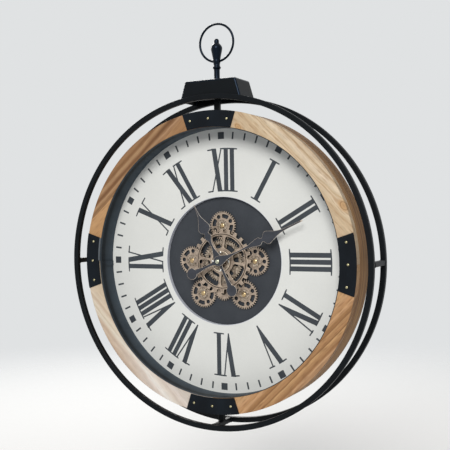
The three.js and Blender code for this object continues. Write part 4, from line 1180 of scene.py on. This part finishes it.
def soft_window(inner, outer, start, end, corner, steps=12):
    """A curved window with rounded corners, as pairs of radius and degrees."""
    points = []
    sides = ((outer, outer - corner, start, end, -90), (inner, inner + corner, end, start, 90))
    for edge, middle, first, last, faces in sides:
        drawn_in = math.copysign(math.degrees(corner / middle), last - first)
        first, last = first + drawn_in, last - drawn_in
        points += bend(middle, first, corner, first + faces, 7)
        points += arc(edge, first, last, steps)[1:-1]
        points += bend(middle, last, corner, last + faces + 90, 7)
    return points


def stamped(lines, back, front, edge, flats=FLAT):
    """A sheet cut along the lines: its sides take a darker bronze, a painted shade, and its edges are broken
    and take a lighter bronze, rubbed wear with a painted highlight.
    """
    wheel = give(thicken(join(*lines), front - back), BRONZES)
    for face in wheel.data.polygons:
        # faces that do not face the front take the darker bronze, a painted shade
        face.material_index = SHADED_FLANK if abs(face.normal.y) < 0.5 else flats
    return ease_edges(wheel, edge, angle=28, edge_finish=RUBBED_AND_HIGHLIT)


print("tooth and window tools ready")

# %% [markdown]
# A satellite has 36 teeth, four curved slots, four round holes between them and a raised hub with a turned
# groove. It is made once, in the middle of the dial, and copied to its five studs. Each copy is turned until
# a tooth faces a gap of the gear that drives it.

# %% Satellites
SUN_TEETH, SATELLITE_TEETH, PINION_TEETH = 55, 36, 23
SATELLITE_REACH, LOWER_RIGHT, LOWER_UP = 64.91, 41.9, -60.618
SATELLITE_HUB = [(2.4, 24.0), (12.5, 24.0), (12.5, 25.3), (12.2, 25.6), (10.7, 25.8), (10.4, 25.2),
                 (9.8, 25.2), (9.5, 25.95), (6.8, 26.15), (4.9, 26.2), (4.7, 25.8), (2.4, 25.8)]
STUD_LINE = [(0.0, 20.6), (4.4, 20.6), (4.4, 22.4), (4.1, 22.6), (2.0, 22.6), (2.0, 26.5), (4.1, 26.5),
             (4.4, 26.8), (4.3, 27.2), (3.7, 27.6), (2.6, 27.88), (1.2, 28.0), (0.0, 28.0)]
HUB_FACE_RADIUS = 10.75


def make_satellite():
    lines = [
        fine_teeth("satellite", SATELLITE_TEETH),
        repeated("slots", 4, soft_window(14.0, 21.3, -21, 21, 1.5, steps=8), FINE_BACK),
        repeated("rounds", 4, bend(17.8, 45, 3.75, 0, 24), FINE_BACK),
        ring_line("bore", 2.4, 32, FINE_BACK),
    ]
    wheel = stamped(lines, FINE_BACK, FINE_FRONT, 0.08)
    hub = give(turned("hub", SATELLITE_HUB, 48), BRONZES, HUB_AND_SHADE)
    for face in hub.data.polygons:
        if from_middle(face.center) > HUB_FACE_RADIUS:
            face.material_index = FLAT
    return join(wheel, hub)


def meshed_turn(turn, teeth, own_teeth, direction):
    """The turn that puts a gap of one gear opposite a tooth of the next on their line of centres."""
    return direction + 180 + 360 / own_teeth * (0.5 - (turn - direction) / (360 / teeth))


pinion_turn = meshed_turn(0, SUN_TEETH, PINION_TEETH, -90)
# name, direction from the sun gear, and the teeth that it is turned on by, which turns its slots
seats = []
for name, direction, teeth_on in (("right", 0, 4), ("top", 90, 2), ("left", 180, 3)):
    turn = meshed_turn(0, SUN_TEETH, SATELLITE_TEETH, direction)
    seats.append((name, on_dial(SATELLITE_REACH, direction), turn, teeth_on))
for name, side, teeth_on in (("lower_right", 1, 0), ("lower_left", -1, 1)):
    direction = math.degrees(math.atan2(LOWER_UP - PINION_UP, side * LOWER_RIGHT))
    turn = meshed_turn(pinion_turn, PINION_TEETH, SATELLITE_TEETH, direction)
    seats.append((name, (side * LOWER_RIGHT, LOWER_UP), turn, teeth_on))
wheel = make_satellite()
stud = turned("stud", STUD_LINE, 32, closed=False)
for name, place, turn, teeth_on in seats:
    node = "satellite_" + name
    turn += teeth_on * 360 / SATELLITE_TEETH
    made = copy_of(wheel, "satellite_wheel_" + name, turn=turn, to=(*place, 0))
    dress(made, "antique_bronze", BRONZES, node, body=node, smooth=30)
    cap = copy_of(stud, "gold_stud_" + name, to=(*place, 0))
    dress(cap, "gold_cap", stud_gold, "stud_" + name, smooth=50)
discard(wheel, stud)
print(len(seats), "satellites on their studs")

# %% [markdown]
# The sun gear turns on the same tube as the coarse gear in front of it, and meshes with the three upper
# satellites. The small gear at the bottom is turned until its teeth stand in the gaps of the sun gear.

# %% Sun gear and pinion
sun_lines = [
    fine_teeth("sun_wheel", SUN_TEETH),
    ring_line("bore", 6.9, 32, FINE_BACK),
    repeated("windows", 6, soft_window(18.0, 31.5, 40, 74, 1.5), FINE_BACK),
]
# the sun gear's flats take the darker mottled hub bronze, a painted shade where it lies behind the coarse gear
sun = stamped(sun_lines, FINE_BACK, FINE_FRONT, 0.08, flats=HUB_AND_SHADE)
hub = turned("sun_hub", [(6.9, 24.0), (11.0, 24.0), (11.0, 27.7), (10.7, 28.1), (6.9, 28.1)], 48)
sun = join(sun, give(hub, BRONZES, HUB_AND_SHADE))
dress(sun, "antique_bronze", BRONZES, "sun_gear", body="centre_gears", smooth=30)
small = stamped([fine_teeth("pinion", PINION_TEETH)], FINE_BACK, FINE_FRONT, 0.08)
# a black disc on the small gear's hub is a painted shade, which shows between the teeth of the coarse gear
shade_disc = give(turned("shade_disc", box_section(1.6, 6.6, 24.0, 25.2), 48), BRONZES, RECESS_AND_SHADE)
shaft_back = -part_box("drive_pinion")[1][1] / MM
shaft_line = [(0.0, shaft_back), (1.6, shaft_back), (1.6, 25.6), (1.3, 25.9), (0.0, 25.9)]
shaft = give(turned("pinion_shaft", shaft_line, 24, closed=False), BRONZES, HUB_AND_SHADE)
small = moved(join(small, shade_disc, shaft), "drive_pinion_wheel", turn=pinion_turn, to=(0, PINION_UP, 0))
dress(small, "antique_bronze", BRONZES, "drive_pinion", body="pinion", smooth=30)
print("sun and pinion")

# %% [markdown]
# The coarse gear is the showpiece: 24 square teeth, four pairs of windows between soft spokes, a turned groove
# that has kept its black patina, and a raised hub ring. The windows of a pair differ, one wide and one
# narrow, so that the spokes look like a flower.

# %% Coarse gear
COARSE_BACK, COARSE_FRONT, COARSE_TEETH = 28.4, 30.9, 24
COARSE_FLANK = [(52.0, 0.5), (52.0, 0.31), (52.5, 0.265), (58.6, 0.19), (59.0, 0.165)]
GROOVE_INNER, GROOVE_OUTER, GROOVE_DEPTH = 48.7, 50.1, 0.8


def make_coarse_gear():
    lines = [tooth_ring("coarse_spoked_wheel", COARSE_TEETH, COARSE_FLANK, COARSE_BACK),
             ring_line("bore", 6.9, 32, COARSE_BACK)]
    for start, end in ((34.5, 79.5), (-3.5, 25.5)):
        lines.append(repeated("windows", 4, soft_window(24.0, 47.0, start, end, 4.5), COARSE_BACK))
    gear = stamped(lines, COARSE_BACK, COARSE_FRONT, 0.2)
    groove = box_section(GROOVE_INNER, GROOVE_OUTER, COARSE_FRONT - GROOVE_DEPTH, COARSE_FRONT + 1)
    cut(gear, turned("groove_tool", groove, 128))
    for face in gear.data.polygons:
        below = (COARSE_BACK + 0.5) * MM < -face.center.y < (COARSE_FRONT - 0.05) * MM
        if below and GROOVE_INNER - 0.1 < from_middle(face.center) < GROOVE_OUTER + 0.1:
            face.material_index = RECESS_AND_SHADE
    bead = eased(box_section(47.25, 48.35, COARSE_FRONT - 0.3, COARSE_FRONT + 0.35), 0.3)
    bead = turned("rim_bead", bead, 128)
    hub = turned("hub_ring", eased(box_section(18.0, 23.7, 29.4, 32.1), 0.5), 96)
    return join(gear, give(bead, BRONZES, FLAT), give(hub, BRONZES, FLAT))


coarse = make_coarse_gear()
dress(coarse, "antique_bronze", BRONZES, "coarse_gear", body="centre_gears", smooth=30)
print("coarse gear faces", len(coarse.data.polygons))

# %% [markdown]
# The coarse gear runs on a fixed tube. A round bridge is screwed to the tube's end, with four kidney
# windows and four bright domed screws.

# %% Tube, bridge and its screws
BRIDGE_BACK, BRIDGE_FRONT, SCREW_CIRCLE = 33.3, 35.3, 16.2
TUBE_LINE = [(5.0, 20.6), (11.0, 20.6), (11.0, 22.2), (6.5, 22.2), (6.5, 33.0), (5.0, 33.0)]
SCREW_LINE = [(0.0, 34.3), (2.3, 34.3), (2.3, 35.9), (2.15, 36.4), (1.7, 36.85), (0.95, 37.12), (0.0, 37.2)]

dress(turned("brass_centre_tube", TUBE_LINE, 64), "gold_cap", stud_gold, "centre_tube", smooth=40)
lines = [
    ring_line("round_bridge", 19.4, 96, BRIDGE_BACK),
    ring_line("bore", 5.0, 32, BRIDGE_BACK),
    repeated("kidneys", 4, soft_window(8.5, 12.8, 17, 73, 1.6, steps=8), BRIDGE_BACK),
]
bridge = stamped(lines, BRIDGE_BACK, BRIDGE_FRONT, 0.35)
lip = turned("bridge_lip", eased(box_section(17.9, 19.3, 34.8, 35.75), 0.4), 96)
# the bridge's lip takes the lighter edge bronze, rubbed wear and a painted highlight
bridge = join(bridge, give(lip, BRONZES, RUBBED_AND_HIGHLIT))
dress(bridge, "antique_bronze", [BRONZES[HUB_AND_SHADE], *BRONZES[RUBBED_AND_HIGHLIT:]], "front_bridge")
screw = turned("bridge_screw", SCREW_LINE, 32, centre=(SCREW_CIRCLE, 0), closed=False)
cut(screw, block("slot_tool", (SCREW_CIRCLE, 0, 37.2), (6, 0.7, 1.2)))
for number in range(4):
    made = copy_of(screw, f"bridge_screw_{number + 1}", turn=90 * number)
    dress(made, "silver", screw_silver, smooth=45)
discard(screw)
print("bridge and four screws")

# %% [markdown]
# ## Hands
# Both hands are spades, stamped from 1 mm steel. A smooth curve is drawn through the half-widths along the
# hand, mirrored and closed by the round counterweight. The edge is bare and grey-brown, and the face is dark
# paint that stops just short of it, so the paint is a thinner copy of the outline that lies on the blade.

# %% Hands
# how far along the hand, and half its width there
TAIL_LINE = [(-46, 4.6), (-36, 3.0), (-22, 2.4), (-12, 2.8), (-7, 4.6), (-3, 8.0)]
MINUTE_LINE = TAIL_LINE + [
    (2, 9.4), (8, 8.4), (17, 5.4), (30, 2.5), (44, 1.3), (65, 2.2), (80, 5.2), (91, 7.2), (95, 4.4),
    (98, 3.4), (101, 5.6), (104.5, 10.2), (108.5, 11.9), (112.5, 10.9), (126, 5.3), (138, 2.5), (152, 1.6),
    (181.5, 1.2),
]
HOUR_LINE = TAIL_LINE + [
    (2, 9.2), (8, 8.0), (17, 5.0), (28, 2.3), (39, 2.8), (48, 6.8), (51, 7.0), (54, 5.2), (56.5, 4.6),
    (59, 7.5), (62.5, 11.4), (66.5, 12.5), (70, 11.7), (82, 6.2), (91, 2.7), (101, 1.2), (115.4, 0.7),
]
NUT_LINE = [(0.0, 48.2), (3.9, 48.2), (4.0, 48.4), (4.0, 49.2), (3.7, 49.75), (2.9, 50.15), (1.6, 50.35),
            (0.0, 50.4)]
# how far a hand is off the wall and how many degrees past 12 it shows
HOUR_SEAT, MINUTE_SEAT = (41.9, 334.2), (46.9, 66.2)
DISC_DROP, DISC_RADIUS, CURVE_PARTS = 58.5, 10.3, 5
PAINT_INSET, BLADE_THICKNESS = 0.4, 1.0
BARE, PAINTED, PAINTED_HIGHLIGHT = range(3)


def smooth_line(points):
    """More points on a smooth curve through the given ones."""
    ends = [points[0]] + list(points) + [points[-1]]
    smooth = []
    for a, b, c, d in zip(ends, ends[1:], ends[2:], ends[3:]):
        for t in (i / CURVE_PARTS for i in range(CURVE_PARTS)):
            smooth.append([
                0.5 * (2 * q + (r - p) * t + (2 * p - 5 * q + 4 * r - s) * t * t
                       + (3 * q - p - 3 * r + s) * t**3)
                for p, q, r, s in zip(a, b, c, d)
            ])
    return smooth + [points[-1]]


def hand_outline(line, inset=0.0):
    """A hand and its round counterweight, both drawn in by the inset."""
    tip = line[-1][0] - inset
    side = [(max(half - inset, 0.12), along) for along, half in smooth_line(line) if along <= tip]
    if inset:
        last = max(i for i, (half, _) in enumerate(side) if half > 0.3)
        side = side[: last + 1]
    radius = DISC_RADIUS - inset
    meet = math.degrees(math.asin(min(1, side[0][0] / radius)))
    disc = curve(radius, 90 + meet, 450 - meet, 40, (0, -DISC_DROP))
    right = [(x, y) for x, y in side if y > disc[-1][1] + 0.2]
    return disc + right + [(-x, y) for x, y in reversed(right)]


def make_hand(name, line, back, degrees_past_12, body, node, arbor_line):
    front = back + BLADE_THICKNESS
    blade = ease_edges(flat_piece("blade", [hand_outline(line)], back, front), 0.22, angle=50)
    paint = flat_piece("paint", [hand_outline(line, PAINT_INSET)], front - 0.1, front + 0.06)
    arbor = turned("arbor", arbor_line, 32)
    hand = join(give(blade, HAND, BARE), give(paint, HAND, PAINTED), give(arbor, HAND, BARE))
    moved(hand, name, turn=-degrees_past_12)
    # sides of the blade that face right take a near white bronze, a painted highlight
    for face in hand.data.polygons:
        if face.material_index == BARE and face.normal.x > 0.22:
            face.material_index = PAINTED_HIGHLIGHT
    dress(hand, "hand_paint", HAND, node, body=body, smooth=40)


HAND = [
    bronze("bare_pale_brass_edges", "#988A7E", "#B6A89A", "#D2C6B8", 0.36, patina=0.0, metal=0.4),
    flat_paint("charcoal_hand_paint", "#33363D", "#3B3E46", 0.45, cloud_mm=12.0, shine=0.3),
    # near white bronze for the sides that face right, a painted highlight
    bronze("painted_highlight_right_edges", "#DAD4CC", "#ECE8E2", "#FAF8F4", 0.3, patina=0.0, metal=0.2),
]
hour_arbor = [(2.0, 16.6), (2.9, 16.6), (2.9, 43.3), (2.7, 43.5), (2.0, 43.5)]
minute_arbor = box_section(0.4, 1.6, 16.6, 47.9)
make_hand("hour_spade_hand", HOUR_LINE, *HOUR_SEAT, "hour", "hour_hand", hour_arbor)
make_hand("minute_spade_hand", MINUTE_LINE, *MINUTE_SEAT, "minute", "minute_hand", minute_arbor)
nut = turned("domed_hand_nut", NUT_LINE, 48, closed=False)
nut_nickel = hammered("greenish_nickel_nut", "#A9AA94", "#DADCC8", 0.25, 2.4, depth=0.3)
dress(nut, "pale_brass", nut_nickel, "hand_nut", body="minute", smooth=50)
print("two hands and their nut")

# %% [markdown]
# ## Behind the dial
# The back is closed by a sheet of brown hardboard, rough side out, with the print of the wire screen that it
# was pressed on. The screen's wires are 1.4 mm apart and are drawn 3 mm apart, so that they show from a
# distance. Twelve small screws hold the sheet to blocks inside the case.

# %% Hardboard back
BOARD_SHEET_BACK, BOARD_SHEET_FRONT, BOARD_RADIUS, BOARD_SCREWS = 12.0, 15.0, 261.7, 252
PAN_HEAD = [(0.0, 11.9), (3.6, 11.9), (3.6, 11.3), (3.2, 10.7), (2.2, 10.3), (0.0, 10.2)]


def hardboard_back(name, dark, light):
    sheet = Finish(name, 0.15, Roughness=0.8)
    pulp = sheet.noise(190.0, 4.0)
    wires = []
    for direction in ("X", "Z"):
        wave = {"Vector": sheet.place, "Scale": 105.0, "Distortion": 0.0}
        wires.append(sheet.node("TexWave", wave, "Fac", bands_direction=direction))
    weave = sheet.maths("MULTIPLY", *wires)
    colour = sheet.shaded(sheet.ramp(pulp, [(0.3, dark), (0.7, light)]), weave, 0.93, 1.07)
    return sheet.ready(colour, bump=(0.5, 0.0005, sheet.maths("MULTIPLY_ADD", pulp, 0.5, weave)))


brown_hardboard = hardboard_back("brown_hardboard_rough_side", "#5C452E", "#755A3E")
outlines = [curve(BOARD_RADIUS, 0, 360, 128)[:-1], eased(box_outline((0, -33.5), (78, 135)), 4.0)]
back_board = flat_piece("hardboard_back", outlines, BOARD_SHEET_BACK, BOARD_SHEET_FRONT)
dress(ease_edges(back_board, 0.4, angle=60), "hardboard", brown_hardboard, "back_board", smooth=30)
screw_steel = hammered("zinc_plated_screws", "#9A9C9C", "#C2C4C4", 0.32, 3.0, depth=0.15)
screws = turned("board_screw", PAN_HEAD, 24, centre=(BOARD_SCREWS, 0), closed=False)
for size in ((4.4, 0.8, 0.8), (0.8, 4.4, 0.8)):
    cut(screws, block("blade_slot", (BOARD_SCREWS, 0, 10.3), size))
moved(screws, "board_screws", turn=15)
spin(screws, 12, spot(0, 0, 0), repeat=True)
dress(screws, "silver", screw_steel, smooth=40)
print("back board and twelve screws")

# %% [markdown]
# The hanger is a strip of zinc-plated steel across the hoop at the wall. Its keyhole is a round hole with a
# slot above it, drawn as one outline. Two flat rivets hold the strip.

# %% Hanger
HANGER_BACK, HANGER_FRONT, HANGER_MIDDLE = 7.0, 9.0, 311.8
KEYHOLE_UP, KEYHOLE_RADIUS, SLOT_TOP, SLOT_RADIUS = 308.3, 5.2, 317.3, 2.6
RIVET_LINE = [(0.0, 7.1), (3.4, 7.1), (3.3, 6.6), (2.6, 6.2), (1.2, 6.0), (0.0, 6.0)]

zinc_sheet = hammered("zinc_plated_sheet", "#A9ACAE", "#C9CCCE", 0.36, 14.0, depth=0.08)
neck = math.degrees(math.asin(SLOT_RADIUS / KEYHOLE_RADIUS))
keyhole = curve(KEYHOLE_RADIUS, 90 + neck, 450 - neck, 32, (0, KEYHOLE_UP))
keyhole += curve(SLOT_RADIUS, 0, 180, 16, (0, SLOT_TOP - SLOT_RADIUS))
strip = eased(box_outline((0, HANGER_MIDDLE), (54, 22)), 3.0, steps=5)
hanger = flat_piece("zinc_hanger_strip", [strip, keyhole], HANGER_BACK, HANGER_FRONT)
ease_edges(hanger, 0.25, angle=40)
rivets = [turned("rivet", RIVET_LINE, 24, centre=(right, HANGER_MIDDLE), closed=False) for right in (-19, 19)]
dress(join(hanger, *rivets), "silver", zinc_sheet, "hanger_plate")
print("hanger faces", len(hanger.data.polygons))

# %% [markdown]
# The movement and the motor unit are boxes of moulded black plastic. Mould sides are eroded by spark, which
# leaves a fine matt grain. The solids already have their bays, bores and tracks cut, so each is copied, its
# triangles are merged and its edges are rounded, as every moulded edge is. Ribs are then added, the way they
# are in a mould: to stiffen a lid and to give a thumb something to push.

# %% Moulded plastic and the two boxes
BOSS_LINE = [(0.0, 3.2), (3.2, 3.2), (3.2, 2.4), (2.7, 2.0), (1.5, 2.0), (1.3, 2.6), (0.0, 2.6)]


def moulded_plastic(name, dark, light):
    plastic = Finish(name, 0.3, Roughness=0.55)
    colour = plastic.ramp(plastic.noise(45.0), [(0.35, dark), (0.65, light)])
    # the eroded grain is 0.1 mm on the real box and is drawn at 1 mm
    erosion = plastic.noise(1000.0, 1.0)
    return plastic.ready(colour, (erosion, 0.46, 0.66), (0.2, 0.0002, erosion))


def moulded_box(node, name):
    """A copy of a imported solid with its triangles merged, its flat faces made whole and its edges rounded."""
    made = bpy.data.objects.new(name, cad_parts[node].data.copy())
    bpy.context.scene.collection.objects.link(made)
    edit(made)
    bpy.ops.mesh.remove_doubles(threshold=TOUCHING)
    bpy.ops.mesh.select_all(action="SELECT")
    bpy.ops.mesh.dissolve_limited(angle_limit=math.radians(0.8))
    leave()
    return ease_edges(give(made, [black_plastic], 0), 0.8, segments=3)


def rib(middle, size, back, front):
    """A moulded rib: a slab with rounded corners and edges."""
    return ease_edges(flat_piece("rib", [eased(box_outline(middle, size), 0.5)], back, front), 0.22, angle=50)


black_plastic = moulded_plastic("eroded_black_plastic", "#17181A", "#202124")
movement = moulded_box("time_movement", "clock_movement_box")
details = [rib((0, 1.5), (44, 1.2), 2.3, 3.2)]
details += [rib((right, 14.0), (1.2, 22), 2.3, 3.2) for right in (-21, 21)]
for place in ((-24.4, -24.6), (-24.4, 24.6), (24.4, -24.6), (24.4, 24.6)):
    details.append(turned("boss", BOSS_LINE, 24, centre=place, closed=False))
dress(join(movement, *details), "black_plastic", black_plastic, "time_movement")
unit = moulded_box("gear_motor_unit", "gear_motor_box")
details = [rib((right, -52), (1.4, 26), 1.3, 2.2) for right in (-24, -16, -8, 8, 16, 24)]
dress(join(unit, *details), "black_plastic", black_plastic, "gear_motor_unit")
print("two moulded boxes")

# %% [markdown]
# The battery door is a thin slab with five thumb ribs. The setting wheel is fluted, so that a fingertip can
# turn it: one flute is drawn and repeated, and the flat is pulled to its thickness.

# %% Door and setting wheel
DOOR_UP, DOOR_BACK, DOOR_FRONT = -82.0, 1.8, 2.8
FLUTE_FLANK = [(6.95, 0.5), (6.95, 0.22), (6.4, 0.08)]

outline = eased(box_outline((0, DOOR_UP), (58, 18)), 1.2)
door = flat_piece("ribbed_battery_door", [outline], DOOR_BACK, DOOR_FRONT)
ease_edges(door, 0.2, angle=50)
door = join(door, *[rib((14 + 2.6 * i, DOOR_UP), (1.2, 11), 1.2, 2.0) for i in range(5)])
dress(door, "black_plastic", black_plastic, "battery_door", body="battery_door")
knob = thicken(tooth_ring("fluted_wheel", 28, FLUTE_FLANK, 0.65), 1.85)
ease_edges(knob, 0.15, segments=1, angle=60)
stem = turned("stem", [(0.0, 2.3), (1.5, 2.3), (1.5, 7.6), (1.3, 7.8), (0.0, 7.8)], 24, closed=False)
knob = moved(join(knob, stem), "setting_wheel", to=(0, 13, 0))
dress(knob, "black_plastic", black_plastic, "set_knob", body="setting")
print("door and setting wheel")

# %% [markdown]
# A cell is a steel can in a shrunk plastic jacket. The jacket curls over both ends and stops at a crimped
# groove below the raised contact. Its two printed zones and the bare metal are told apart by the distance
# along the cell.

# %% Cells
CELL_OFF_WALL, CELL_HALF = 10.4, 25.25
CELL_LINE = [
    (0.0, 0.0), (6.2, 0.0), (6.3, 0.4), (6.75, 0.5), (6.9, 1.0), (6.9, 47.6), (6.7, 48.1), (6.3, 48.3),
    (5.9, 48.2), (5.8, 48.8), (5.2, 49.2), (3.1, 49.3), (2.7, 49.4), (2.7, 50.2), (2.4, 50.5), (0.0, 50.5),
]
# where each zone begins, from the flat end, its tone and how metallic it is
CELL_ZONES = [
    (0.0, "#B9BBBC", "#FFFFFF"), (0.6, "#43505C", "#303030"), (34.0, "#46535F", "#303030"),
    (34.6, "#A9AEB2", "#303030"), (47.6, "#A4A9AD", "#303030"), (48.0, "#C8CACB", "#FFFFFF"),
]


def jacketed_cell(name):
    """Jacket, print and bare metal of a cell, by the distance along it."""
    cell = Finish(name, Roughness=0.3)
    along = add_node(cell.tree, "SeparateXYZ", {0: cell.place}).outputs["X"]
    tone, metal = [
        cell.bands(along, -CELL_HALF, CELL_HALF, [(zone[0] - CELL_HALF, zone[kind]) for zone in CELL_ZONES])
        for kind in (1, 2)
    ]
    cell.tree.links.new(metal, cell.shader.inputs["Metallic"])
    scuffs = along_grain(cell, cell.place, (3.0, 9.0), detail=3.0)
    return cell.ready(cell.shaded(tone, scuffs, 0.92, 1.08), (scuffs, 0.24, 0.42))


cell_jacket = jacketed_cell("silver_and_slate_cell_jacket")
for node, up in (("time_cell", -16.0), ("gear_cell", DOOR_UP)):
    line = [spot(along - CELL_HALF, up + radius, CELL_OFF_WALL) for radius, along in CELL_LINE]
    cell = walk("round_" + node, line, closed=False)
    spin(cell, 48, spot(0, up, CELL_OFF_WALL), axis=(1, 0, 0))
    dress(cell, "cell_jacket", cell_jacket, node, smooth=40)
print("two cells")
